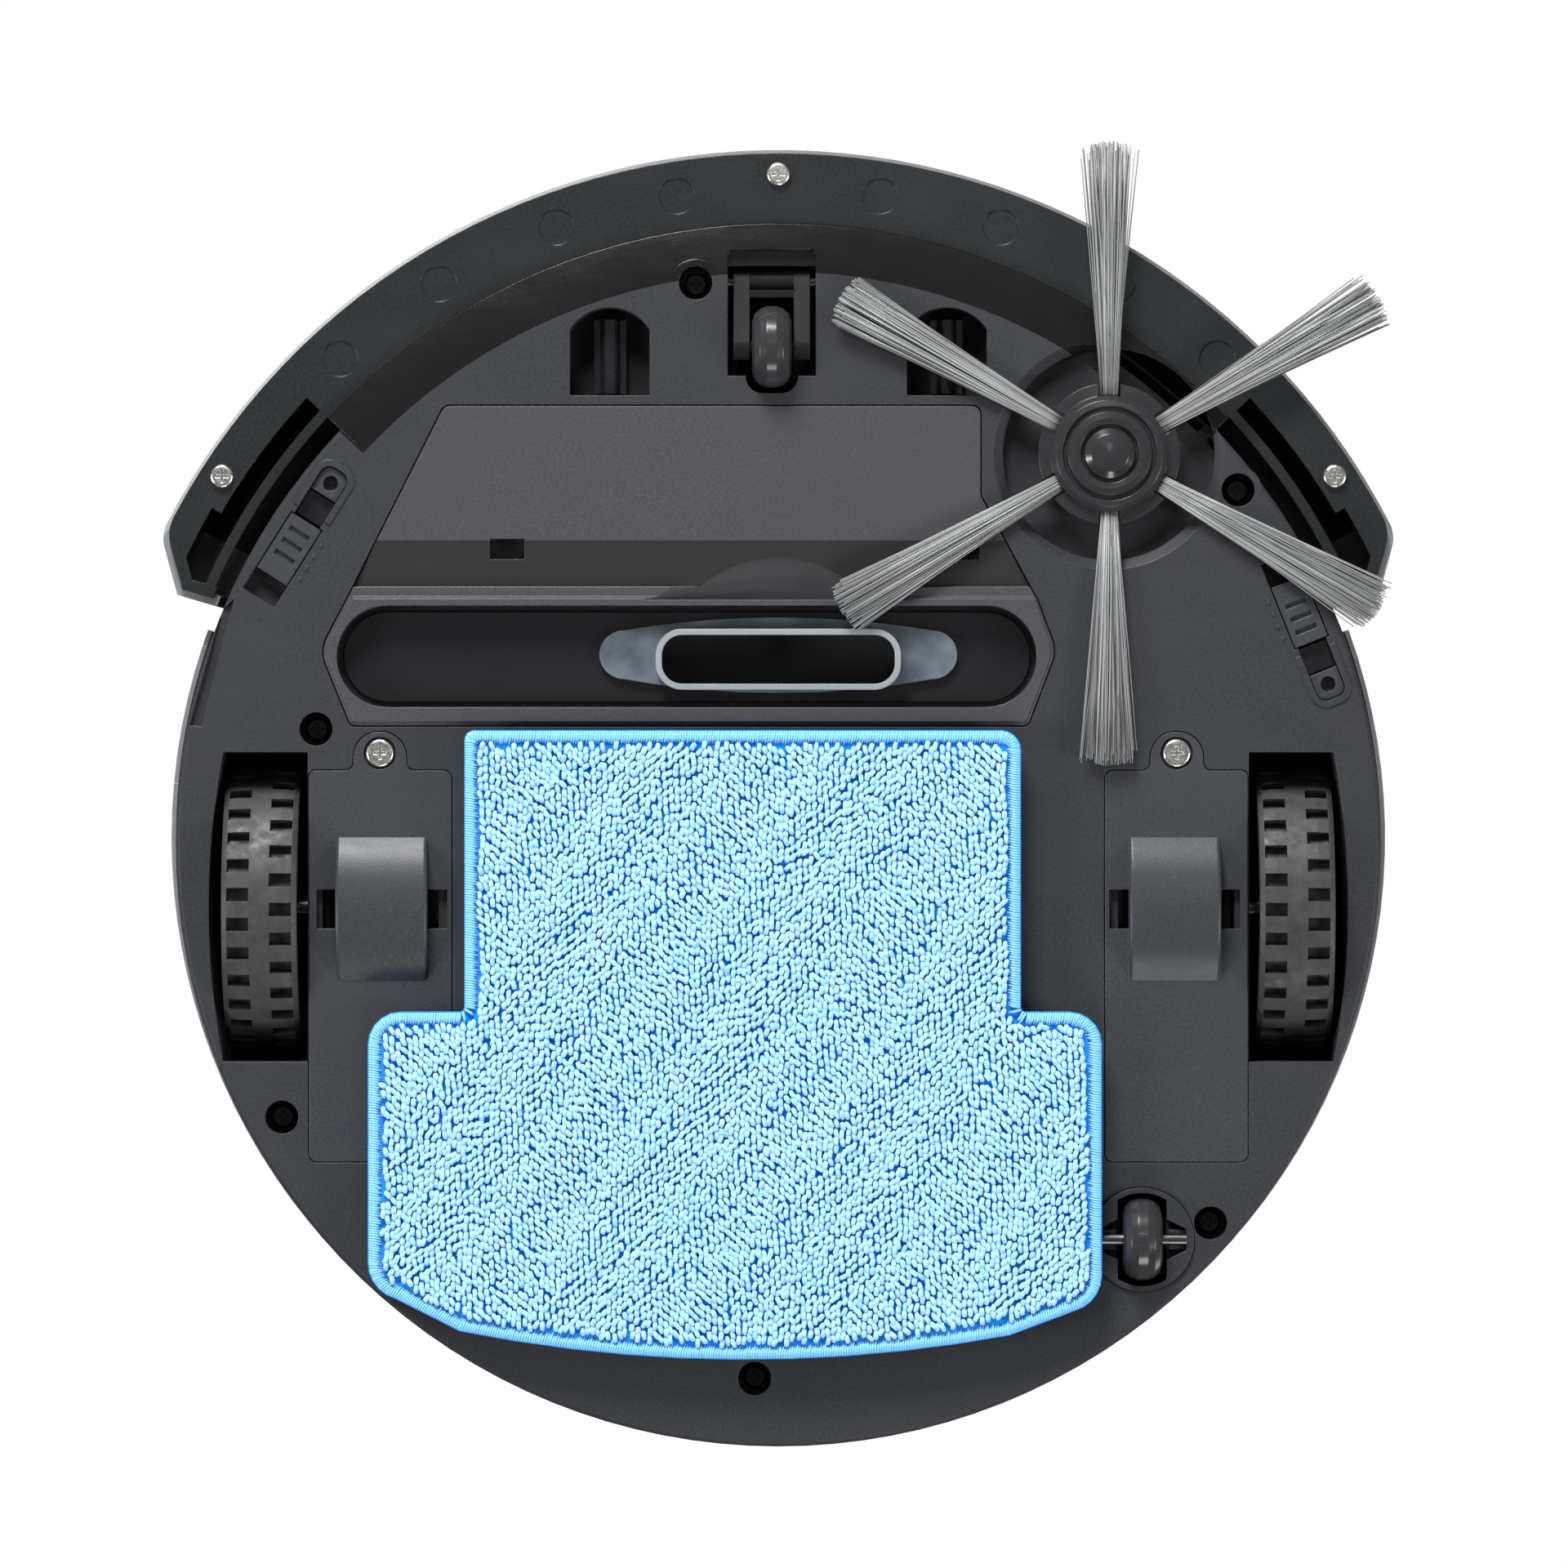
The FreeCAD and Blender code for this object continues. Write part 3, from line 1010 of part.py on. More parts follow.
def power_rocker():
    """Made with one end in; it tips about a vertical axis to bring the other end in."""
    face = [V(-6.2, -146.8, 0), V(0, -148.6, 0), V(6.2, -146.8, 0), V(6.2, -144.4, 0),
            V(-6.2, -144.4, 0)]
    body = Part.Face(Part.makePolygon(face + face[:1])).extrude(V(0, 0, 8.4))
    body.translate(V(0, -0.4, SIDE_Z - 4.2))
    body = body.fuse(cyl(1.3, SIDE_Z - 4.8, SIDE_Z + 4.8, 0, -145.5)).removeSplitter()
    body.rotate(V(0, -145.5, 0), UP, -8)
    return turned(body, ROCKER_ANGLE)


# ---------------------------------------------------------------- mop
def mop_plate():
    plate = prism(mop_outline(-4.0), 5.6, FLOOR_GAP - 0.2)
    rim = prism(mop_outline(-8.0), 7.4, 12).cut(
        prism(outline([(-12, -50, 0), (-10, -50, 0), (-10, 150, 0), (-12, 150, 0)]), 0, 20))
    pegs = [box(x - 4.2, x + 4.2, y - 1.7, y + 1.7, 7, 15.0) for x, y in MOP_PEGS]
    return plate.cut(rim).fuse(pegs).removeSplitter()


def sensor_shutter(side):
    slab = box(-4.3, 4.3, 11.3, 27.2, FLOOR_GAP + 0.3, FLOOR_GAP + 2.2)
    grooves = [box(-2.8, 2.8, y, y + 1.3, 0, FLOOR_GAP + 1.0) for y in (14.0, 17.4, 20.8)]
    return sensor_frame(side, slab.cut(grooves))


def sensor_insert(side):
    plate = prism(outline([(-3.5, -3.4, 2.4), (3.5, -3.4, 2.4), (3.5, 3.6, 0), (-3.5, 3.6, 0)]),
                  FLOOR_GAP + 0.6, FLOOR_GAP + 3.8)
    return sensor_frame(side, plate.cut(cyl(1.85, 0, FLOOR_GAP + 3.0, 0, 0.2)))


def keep_shell():
    keep("base_plate", base_plate())
    keep("side_shell", *shell_and_socket_panel())
    keep("top_cover", top_cover())
    keep("inlet_cover", inlet_cover())
    keep("inlet_nozzle", inlet_nozzle())
    keep("inlet_duct", inlet_duct())


def keep_covers_and_lenses():
    cover = drive_cover()
    keep("right_drive_cover", cover)
    keep("left_drive_cover", mirrored(cover))
    cover_screw = pan_head_screw(*COVER_SCREW, FLOOR_GAP + 1.1, 3.5, 10, 1.35)
    keep("drive_cover_screws", cover_screw, mirrored(cover_screw))
    keep("chassis_screws", *[pan_head_screw(x, y, SCREW_HOLE_TOP - 0.1, 2.9, 2.5, 1.5)
                             for x, y in SCREW_HOLES])

    ridge = fuse(box(-4.0, 4.0, -127.5, -109.2, 17.6, 19.9), rod_y(2.4, -127.5, -109.2, 0, 17.4))
    windows = [sensor_frame(side, box(-3.5, 3.5, 4.0, 10.6, FLOOR_GAP + 2.6, FLOOR_GAP + 3.9))
               for side in SENSOR_ANGLES]
    keep("infrared_lenses", moved(ridge, ARCH_X), moved(ridge, -ARCH_X), *windows)
    keep("cliff_sensor_inserts", *[sensor_insert(side) for side in SENSOR_ANGLES])
    for side in SENSOR_ANGLES:
        keep(side + "_sensor_shutter", sensor_shutter(side))


def keep_wheels():
    wheel_gear, idler, pinion = drive_train()
    gearbox = gearbox_frame()
    tyre_shape = laid_on_x(tyre(), WHEEL_X, WHEEL_Y, WHEEL_Z)
    hub_shape = laid_on_x(hub(), WHEEL_X, WHEEL_Y, WHEEL_Z)
    axle = rod_x(AXLE_R, 87.5, WHEEL_X + 8.5, WHEEL_Y, WHEEL_Z)
    bushes = [bush(90.0, 92.4), bush(110.0, 112.6)]
    for side, place in (("right", lambda s: s), ("left", mirrored)):
        keep(side + "_tyre", place(tyre_shape))
        keep(side + "_wheel_hub", place(hub_shape))
        keep(side + "_axle", place(axle))
        keep(side + "_drive_gear", place(wheel_gear))
        keep(side + "_idler_gear", place(idler))
        keep(side + "_motor_pinion", place(pinion))
    keep("drive_gearboxes", gearbox, mirrored(gearbox))
    keep("axle_bushes", *bushes, *[mirrored(b) for b in bushes])


def keep_brush_and_motors():
    brush_shaft, brush_pinion, brush_motor = brush_drive()
    keep("brush_hub", brush_hub())
    tuft = brush_tuft()
    keep("brush_tufts", *[turned(tuft, 30 + 60 * k, BRUSH) for k in range(TUFTS)])
    keep("brush_shaft_gear", brush_shaft)
    keep("brush_motor_pinion", brush_pinion)
    keep("brush_gearbox", brush_gearbox(brush_motor))
    drive_motor = laid_on_x(motor_can(11.0, 22.0), 78.4, *MOTOR_YZ)
    drive_motor = drive_motor.cut(rod_x(1.05, 97, 110, *MOTOR_YZ))
    upright = motor_can(9.8, 24)
    upright.rotate(V(0, 0, 0), V(1, 0, 0), 180)
    stirrer = moved(upright, *brush_motor, 58.0).cut(cyl(1.05, 25, 40, *brush_motor))
    fan_motor = motor_can(14.0, 14.6)
    fan_motor.rotate(V(0, 0, 0), V(1, 0, 0), 180)
    fan_motor = moved(fan_motor, *FAN_AT, 71.4).cut(cyl(1.65, 50, 66, *FAN_AT))
    keep("gear_motors", drive_motor, mirrored(drive_motor), stirrer, fan_motor)


def keep_rollers():
    keep("front_roller_arm", front_arm())
    keep("front_roller", roller(*FRONT_ROLLER, ROLLER_R))
    keep("rear_roller_carrier", rear_carrier())
    keep("rear_roller", roller(*REAR_ROLLER, ROLLER_R))
    keep("roller_pins", rod_x(PIN_R, FRONT_ROLLER[0] - 12.4, FRONT_ROLLER[0] + 12.4, *FRONT_PIVOT),
         rod_x(PIN_R, REAR_ROLLER[0] - 11.0, REAR_ROLLER[0] + 11.0, REAR_ROLLER[1], ROLLER_R))


def keep_bumper():
    keep("bumper_cover", bumper_cover())
    keep("bumper_frame", bumper_frame())
    keep("bumper_window", ring(BUMPER_R - 1.0, BUMPER_R + 0.1, -21.8, 21.8, 35.2, 48.8))
    keep("bumper_screws", *[pan_head_screw(at(a, 163.2).x, at(a, 163.2).y, LIP_Z, 2.9, 9, 1.45)
                            for a in BUMPER_SCREWS])
    keep("bumper_springs", *[bumper_spring(a) for a in SPRING_ANGLES])
    keep("bumper_switches", *[bumper_switch(a) for a in (-13, 13)])


def keep_inside():
    keep("bin_tank", bin_tank())
    keep("bin_face", bin_face())
    keep("bin_filter", bin_filter())
    keep("bin_release", bin_release())
    keep("fan_housing", fan_housing())
    keep("impeller", impeller())
    keep("main_board", main_board())
    keep("battery_pack", battery_pack())


def keep_controls_and_mop():
    keep("start_button", start_button())
    keep("button_ring_light", ring_light())
    keep("infrared_dome", infrared_dome())
    keep("dc_socket", dc_socket())
    keep("power_rocker", power_rocker())

    keep("mop_plate", mop_plate())
    keep("mop_cloth", prism(mop_outline(), 0, 5.4))


def export():
    os.makedirs("parts", exist_ok=True)
    for name, shapes in PARTS.items():
        solids = [s for shape in shapes for s in shape.Solids]
        whole = solids[0] if len(solids) == 1 else Part.makeCompound(solids)
        whole.exportStep("parts/" + name + ".step")
        print(f"{name}: {len(solids)} solids, {sum(s.Volume for s in solids):.0f} mm3, "
              f"valid {all(s.isValid() for s in solids)}")
    print(len(PARTS), "nodes")


keep_shell()
keep_covers_and_lenses()
keep_wheels()
keep_brush_and_motors()
keep_rollers()
keep_bumper()
keep_inside()
keep_controls_and_mop()
export()
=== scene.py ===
# %% [markdown]
# # A robot vacuum seen from below
# The hard pieces of this robot come from CAD: shells, covers, wheels, screws and gears.
# This script gives every surface its finish and makes the soft pieces that CAD can't show,
# such as the looped microfibre of the mop and the filaments of the side brush. All lengths
# are in metres, in the same frame as the CAD model: +Z is up, the bumper faces -Y and the
# floor is z = 0.

# %%
import bpy
import bmesh
import json
import math
import random
from mathutils import Matrix, Vector


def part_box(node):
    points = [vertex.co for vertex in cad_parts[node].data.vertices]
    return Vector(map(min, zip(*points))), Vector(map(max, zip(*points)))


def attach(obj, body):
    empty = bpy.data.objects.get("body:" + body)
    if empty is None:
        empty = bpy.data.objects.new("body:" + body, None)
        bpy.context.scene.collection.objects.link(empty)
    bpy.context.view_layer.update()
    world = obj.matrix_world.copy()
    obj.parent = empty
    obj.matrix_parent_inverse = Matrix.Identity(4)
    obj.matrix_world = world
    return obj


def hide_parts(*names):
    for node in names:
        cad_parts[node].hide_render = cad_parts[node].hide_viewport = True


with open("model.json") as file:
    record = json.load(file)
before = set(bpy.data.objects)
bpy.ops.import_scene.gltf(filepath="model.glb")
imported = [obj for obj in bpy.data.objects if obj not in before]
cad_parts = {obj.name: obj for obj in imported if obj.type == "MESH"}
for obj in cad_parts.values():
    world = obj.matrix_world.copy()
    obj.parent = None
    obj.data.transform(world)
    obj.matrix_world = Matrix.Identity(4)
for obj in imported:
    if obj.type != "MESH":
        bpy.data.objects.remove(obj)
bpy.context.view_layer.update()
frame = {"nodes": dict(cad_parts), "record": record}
random.seed(7)
MM = 0.001

# %% [markdown]
# ## Node helpers
# A finish is a small graph of shader nodes. Every graph below is read from the object's own
# coordinates, so the grain stays on the surface when a wheel or a drawer moves. The helpers
# keep each finish short: one adds a node, one adds noise, one blends two colours.

# %%
def new_material(name):
    material = bpy.data.materials.new(name)
    material.use_nodes = True
    tree = material.node_tree
    shader = tree.nodes["Principled BSDF"]
    coords = tree.nodes.new("ShaderNodeTexCoord")
    return material, tree, shader, coords.outputs["Object"]


def noise(tree, place, scale, detail=3.0, rough=0.5, stretch=(1, 1, 1)):
    """A soft cloudy value; scale is features per metre."""
    mapping = tree.nodes.new("ShaderNodeMapping")
    mapping.inputs["Scale"].default_value = stretch
    tree.links.new(place, mapping.inputs["Vector"])
    texture = tree.nodes.new("ShaderNodeTexNoise")
    texture.inputs["Scale"].default_value = scale
    texture.inputs["Detail"].default_value = detail
    texture.inputs["Roughness"].default_value = rough
    tree.links.new(mapping.outputs["Vector"], texture.inputs["Vector"])
    return texture.outputs["Fac"]


def curve(tree, value, low, high, out_low=0.0, out_high=1.0):
    node = tree.nodes.new("ShaderNodeMapRange")
    node.clamp = True
    node.inputs["From Min"].default_value = low
    node.inputs["From Max"].default_value = high
    node.inputs["To Min"].default_value = out_low
    node.inputs["To Max"].default_value = out_high
    tree.links.new(value, node.inputs["Value"])
    return node.outputs["Result"]


def blend_colour(tree, factor, first, second, mode="MIX"):
    node = tree.nodes.new("ShaderNodeMix")
    node.data_type = "RGBA"
    node.blend_type = mode
    tree.links.new(factor, node.inputs["Factor"])
    for socket, colour in ((node.inputs[6], first), (node.inputs[7], second)):
        if isinstance(colour, (tuple, list)):
            socket.default_value = (*colour[:3], 1.0)
        else:
            tree.links.new(colour, socket)
    return node.outputs[2]


def maths(tree, operation, first, second=0.0):
    node = tree.nodes.new("ShaderNodeMath")
    node.operation = operation
    for socket, value in zip(node.inputs, (first, second)):
        if isinstance(value, (int, float)):
            socket.default_value = value
        else:
            tree.links.new(value, socket)
    return node.outputs[0]


def distance_from(tree, place, centre, keep):
    """Distance from a line through centre; keep is 1 for each axis that counts."""
    mapping = tree.nodes.new("ShaderNodeMapping")
    mapping.inputs["Location"].default_value = [-c * k for c, k in zip(centre, keep)]
    mapping.inputs["Scale"].default_value = keep
    tree.links.new(place, mapping.inputs["Vector"])
    length = tree.nodes.new("ShaderNodeVectorMath")
    length.operation = "LENGTH"
    tree.links.new(mapping.outputs["Vector"], length.inputs[0])
    return length.outputs["Value"]


def axes_of(tree, place):
    split = tree.nodes.new("ShaderNodeSeparateXYZ")
    tree.links.new(place, split.inputs["Vector"])
    return split.outputs


def bump(tree, shader, height, distance, strength=1.0, edge=0.0):
    """Relief from a height value; edge rounds the look of sharp corners by that radius."""
    node = tree.nodes.new("ShaderNodeBump")
    node.inputs["Distance"].default_value = distance
    node.inputs["Strength"].default_value = strength
    tree.links.new(height, node.inputs["Height"])
    if edge:
        soft = tree.nodes.new("ShaderNodeBevel")
        soft.samples = 6
        soft.inputs["Radius"].default_value = edge
        tree.links.new(soft.outputs["Normal"], node.inputs["Normal"])
    tree.links.new(node.outputs["Normal"], shader.inputs["Normal"])


MATERIALS = {}

# %% [markdown]
# ## Moulded plastics
# The base of a robot vacuum is black ABS from a spark-eroded mould. Its grain is a few tenths
# of a millimetre wide and hides scratches. Large faces never look even: the melt leaves faint
# clouds, and hands leave smoother patches. Deep inside the wells the colour falls with height.
# That darkening is painted shade, for the light that doesn't reach into the wells. One function
# makes every plastic, and its numbers say how coarse, shiny and worn each one is. Its painted
# shade is given as the heights, in millimetres, where the darkening starts and ends, and the
# share of the colour that is left.

# %%
def plastic(name, colour, rough=0.45, grain=2600.0, relief=0.00004, dust=0.12, edge=0.0004,
            coat=0.0, metallic=0.0, recess_shade=None, gloss=0.3):
    material, tree, shader, place = new_material(name)
    lighter = tuple(min(1.0, c * 1.22 + 0.004) for c in colour)
    dusty = tuple(c * (1 - dust * 0.4) + 0.18 * dust * 0.4 for c in colour)
    grainy = curve(tree, noise(tree, place, 1300, 4), 0.38, 0.68)
    look = blend_colour(tree, grainy, colour, lighter)
    patches = curve(tree, noise(tree, place, 30, 6, 0.6), 0.42, 0.80)
    look = blend_colour(tree, patches, look, dusty)
    rub = noise(tree, place, 55, 7, 0.72, (1, 3, 1))
    roughness = curve(tree, rub, 0.3, 0.75, rough - 0.05, rough + 0.06)
    # Painted shade: above the given height the colour darkens towards the share that is left, and the
    # surface there is rougher.
    if recess_shade:
        start, end, share = recess_shade
        shade_depth = curve(tree, axes_of(tree, place)["Z"], start * MM, end * MM)
        look = blend_colour(tree, shade_depth, look, tuple(c * share for c in colour))
        roughness = maths(tree, "ADD", roughness, maths(tree, "MULTIPLY", shade_depth, 0.45))
    tree.links.new(look, shader.inputs["Base Color"])
    tree.links.new(roughness, shader.inputs["Roughness"])
    shader.inputs["Specular IOR Level"].default_value = gloss
    shader.inputs["Metallic"].default_value = metallic
    shader.inputs["Coat Weight"].default_value = coat
    shader.inputs["Coat Roughness"].default_value = 0.08
    bump(tree, shader, noise(tree, place, grain, 2), relief, 0.8, edge)
    MATERIALS[name] = material
    return tree, shader, place, look


# %% [markdown]
# ## The base and its skirt
# The base's sloped skirt behind the bumper is smoother than the base's flat floor, and its colour is
# painted much darker as painted shade on the slope.
# It covers the front of the base only, beyond the radius where the floor starts to slope. The
# mask is true where a point lies outside that radius and within an angle of straight ahead.

# %%
WELL_SHADE = (10.0, 22.0, 0.09)
SKIRT_START = 138.9 * MM
LIP_HALF_ANGLE = math.radians(47.2)

tree, shader, place, base_look = plastic("chassis_black", (0.0265, 0.0275, 0.0315), rough=0.42,
                                         recess_shade=WELL_SHADE)
radius = distance_from(tree, place, (0, 0, 0), (1, 1, 0))
ahead = maths(tree, "LESS_THAN", axes_of(tree, place)["Y"],
              maths(tree, "MULTIPLY", radius, -math.cos(LIP_HALF_ANGLE)))
shaded_skirt = maths(tree, "MULTIPLY", maths(tree, "GREATER_THAN", radius, SKIRT_START), ahead)
# Painted shade: the skirt's colour is about a third of the flat base's.
tree.links.new(blend_colour(tree, shaded_skirt, base_look, (0.0080, 0.0080, 0.0086)),
               shader.inputs["Base Color"])
grained = shader.inputs["Roughness"].links[0].from_socket
tree.links.new(maths(tree, "SUBTRACT", grained, maths(tree, "MULTIPLY", shaded_skirt, 0.30)),
               shader.inputs["Roughness"])
print("base finish with a smoother skirt")

# %% [markdown]
# ## The other plastics
# Small mouldings differ from the base in gloss more than in colour. Parts that turn against
# each other, such as rollers and the brush hub, come from polished moulds and keep a sharp
# highlight. The fork arm of the front roller is left matt.

# %%
# The bumper frame gets painted shade that darkens it above 16 mm.
plastic("bumper_black", (0.0120, 0.0138, 0.0150), rough=0.33, grain=1800, relief=0.00002,
        recess_shade=(16.0, 24.0, 0.35))
plastic("grey_plastic", (0.034, 0.036, 0.041), rough=0.38, grain=3000, relief=0.00003)
plastic("hub_gloss", (0.020, 0.020, 0.022), rough=0.22, grain=900, relief=0.00001, dust=0.06,
        coat=0.35)
plastic("arm_black", (0.009, 0.009, 0.010), rough=0.55, grain=1400, relief=0.00002, dust=0.05,
        gloss=0.10)
plastic("roller_gloss", (0.024, 0.024, 0.026), rough=0.25, grain=700, relief=0.00002, dust=0.10,
        coat=0.2)
# The duct gets painted shade that darkens it above 16 mm.
plastic("duct_plastic", (0.14, 0.14, 0.15), rough=0.5, recess_shade=(16.0, 30.0, 0.35))
plastic("smoked_gloss", (0.010, 0.010, 0.013), rough=0.14, grain=900, relief=0.000004,
        dust=0.08, coat=0.5)
plastic("white_nylon", (0.70, 0.69, 0.64), rough=0.42, dust=0.05)
plastic("battery_sleeve", (0.020, 0.075, 0.28), rough=0.28, grain=600, relief=0.00003, dust=0.05)
plastic("light_white", (0.80, 0.84, 0.87), rough=0.30, dust=0.03)
plastic("screw_black", (0.020, 0.020, 0.022), rough=0.36, metallic=0.7, dust=0.1, edge=0.0002)
print("plastics:", ", ".join(MATERIALS))

# %% [markdown]
# ## Silver paint over black plastic
# The round side wall and the bumper are black mouldings that are sprayed silver on the outside
# only. Paint doesn't reach the inner faces. The shader mixes the two finishes by where a point
# lies: inside a cylinder a little smaller than the wall, and below the lid, it stays black.

# %%
PAINT_METAL = 0.22
WALL_INSIDE = 148.9 * MM
WALL_TOP = 66.5 * MM
LID_EDGE = 138.2 * MM
LID_CROWN = 74.8 * MM
LID_BOW = 0.1418
BUMPER_INSIDE = 167.9 * MM
BUMPER_TOP = 61 * MM
BUMPER_END_COSINE = -0.469


def painted(name, inside_of):
    tree, shader, place, look = plastic(name, (0.20, 0.205, 0.215), rough=0.50, grain=5200,
                                        relief=0.000012, dust=0.05, coat=0.08,
                                        metallic=PAINT_METAL)
    inside = inside_of(tree, place)
    bare = blend_colour(tree, inside, look, (0.016, 0.016, 0.018))
    tree.links.new(bare, shader.inputs["Base Color"])
    tree.links.new(maths(tree, "MULTIPLY", maths(tree, "SUBTRACT", 1.0, inside), PAINT_METAL),
                   shader.inputs["Metallic"])


def inside_shell(tree, place):
    z = axes_of(tree, place)["Z"]
    radius = distance_from(tree, place, (0, 0, 0), (1, 1, 0))
    wall = maths(tree, "MULTIPLY", maths(tree, "LESS_THAN", radius, WALL_INSIDE),
                 maths(tree, "LESS_THAN", z, WALL_TOP))
    bulge = maths(tree, "MULTIPLY", maths(tree, "MULTIPLY", radius, radius), LID_BOW)
    lid = maths(tree, "MULTIPLY", maths(tree, "LESS_THAN", radius, LID_EDGE),
                maths(tree, "LESS_THAN", maths(tree, "ADD", z, bulge), LID_CROWN))
    return maths(tree, "MAXIMUM", wall, lid)


def inside_bumper(tree, place):
    axes = axes_of(tree, place)
    radius = distance_from(tree, place, (0, 0, 0), (1, 1, 0))
    low = maths(tree, "MULTIPLY", maths(tree, "LESS_THAN", radius, BUMPER_INSIDE),
                maths(tree, "LESS_THAN", axes["Z"], BUMPER_TOP))
    ahead = maths(tree, "LESS_THAN", axes["Y"], maths(tree, "MULTIPLY", radius, BUMPER_END_COSINE))
    return maths(tree, "MULTIPLY", low, ahead)


painted("shell_pearl", inside_shell)
painted("bumper_pearl", inside_bumper)
print("silver paint with bare black insides")

# %% [markdown]
# ## The inlet cover
# This cover is one moulding, and its flat door is grained. Its other tones are painted light
# and shade: the shallow slope in front of the inlet is painted darker as painted shade, the
# scoop cut into that slope is painted lighter, with a painted highlight that grows towards its
# rear edge, and the tray behind it is painted nearly black as painted shade in the recess. The
# shader finds these regions by place and by height.

# %%
def between(tree, value, low, high, soft=0.1 * MM):
    return maths(tree, "MULTIPLY", curve(tree, value, low - soft, low + soft),
                 curve(tree, value, high - soft, high + soft, 1.0, 0.0))


SLOPE_START = -73.0 * MM
SLOPE_END = -61.8 * MM
SLOPE_RISE = 0.114
FRAME_EDGE = -57.6 * MM
SCOOP_HALF = 33.0 * MM

tree, shader, place, look = plastic("inlet_plastic", (0.049, 0.049, 0.055), rough=0.36,
                                    grain=2600, relief=0.00003)
axes = axes_of(tree, place)
cover_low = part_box("inlet_cover")[0].z
# Painted shade: the tray deep behind the inlet.
tray_shade = curve(tree, axes["Z"], cover_low + 3.4 * MM, cover_low + 5.0 * MM)
in_front = maths(tree, "LESS_THAN", axes["Y"], FRAME_EDGE)
# Painted shade on the shallow slope in front of the inlet.
slope_shade = between(tree, axes["Y"], SLOPE_START, SLOPE_END)
along = maths(tree, "ADD", axes["Y"], -SLOPE_START)
rise = maths(tree, "MAXIMUM", maths(tree, "MULTIPLY", along, SLOPE_RISE), 0.0)
cut_in = maths(tree, "SUBTRACT", axes["Z"], rise)
# Painted light: the scoop cut into the slope.
scoop_light = maths(tree, "MULTIPLY", between(tree, cut_in, 10.14 * MM, 14.9 * MM, 0.08 * MM), in_front)
scoop_light = maths(tree, "MULTIPLY", scoop_light,
              between(tree, axes["X"], -SCOOP_HALF, SCOOP_HALF, 1.0 * MM))
scoop_light = maths(tree, "MULTIPLY", scoop_light, between(tree, axes["Y"], -70.0 * MM, -57.0 * MM))
look = blend_colour(tree, slope_shade, look, (0.0245, 0.0232, 0.0240))
look = blend_colour(tree, maths(tree, "MULTIPLY", tray_shade, maths(tree, "SUBTRACT", 1.0, in_front)),
                    look, (0.0112, 0.0108, 0.0132))
# Painted highlight on the scoop, brightest towards its rear edge.
scoop_highlight = curve(tree, axes["Y"], -69.0 * MM, -58.6 * MM)
scoop_highlight_tone = blend_colour(tree, scoop_highlight, (0.034, 0.034, 0.037), (0.062, 0.062, 0.066))
look = blend_colour(tree, scoop_light, look, scoop_highlight_tone)
tree.links.new(look, shader.inputs["Base Color"])
print("inlet cover: door, slope, scoop and tray")

# %% [markdown]
# ## Rubber
# Tyre rubber is matt and slightly bluish grey. Its colour depends on the distance from the
# wheel's axle: lighter and smeared on the crowns of the tread, darker in the gaps and below them.
# The clear lip of the suction nozzle is soft PVC: light passes into it and comes out blurred,
# and its free edge, which sweeps the floor, is whitish.

# %%
tyre_low, tyre_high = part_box("right_tyre")
AXLE = (tyre_low + tyre_high) / 2
TYRE_R = (tyre_high.z - tyre_low.z) / 2
tread, tree, shader, place = new_material("tyre_rubber")
from_axle = distance_from(tree, place, AXLE, (0, 1, 1))
smears = curve(tree, noise(tree, place, 240, 6, 0.7), 0.40, 0.75)
crown = blend_colour(tree, smears, (0.026, 0.026, 0.028), (0.047, 0.047, 0.050))
# The colour darkens from the tread's crowns down into the gaps.
toward_crown = curve(tree, from_axle, TYRE_R - 1.9 * MM, TYRE_R - 0.5 * MM)
tree.links.new(blend_colour(tree, toward_crown, (0.016, 0.016, 0.017), crown), shader.inputs["Base Color"])
tree.links.new(curve(tree, noise(tree, place, 420, 3), 0.3, 0.7, 0.45, 0.7),
               shader.inputs["Roughness"])
bump(tree, shader, noise(tree, place, 1800, 4), 0.00006, 0.7, 0.0003)
MATERIALS["tyre_rubber"] = tread

nozzle_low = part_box("inlet_nozzle")[0]
clear, tree, shader, place = new_material("nozzle_rubber")
cloudy = curve(tree, noise(tree, place, 120, 4), 0.35, 0.7)
body = blend_colour(tree, cloudy, (0.13, 0.16, 0.19), (0.27, 0.31, 0.35))
edge = curve(tree, axes_of(tree, place)["Z"], nozzle_low.z + 0.3 * MM, nozzle_low.z + 1.1 * MM)
tree.links.new(blend_colour(tree, edge, (0.46, 0.49, 0.51), body), shader.inputs["Base Color"])
shader.inputs["Transmission Weight"].default_value = 0.45
shader.inputs["Roughness"].default_value = 0.26
shader.inputs["IOR"].default_value = 1.42
bump(tree, shader, noise(tree, place, 500, 3), 0.00005, 0.5, 0.0005)
MATERIALS["nozzle_rubber"] = clear
print("rubbers: tread and nozzle; tyre radius", round(TYRE_R * 1000, 1), "mm")

# %% [markdown]
# ## Metals
# Screw heads are zinc plated steel with fine turning marks. Axles and pins are blackened. Motor
# cans are drawn, so their marks run along the can. The bushes are sintered bronze with open
# pores that hold oil.

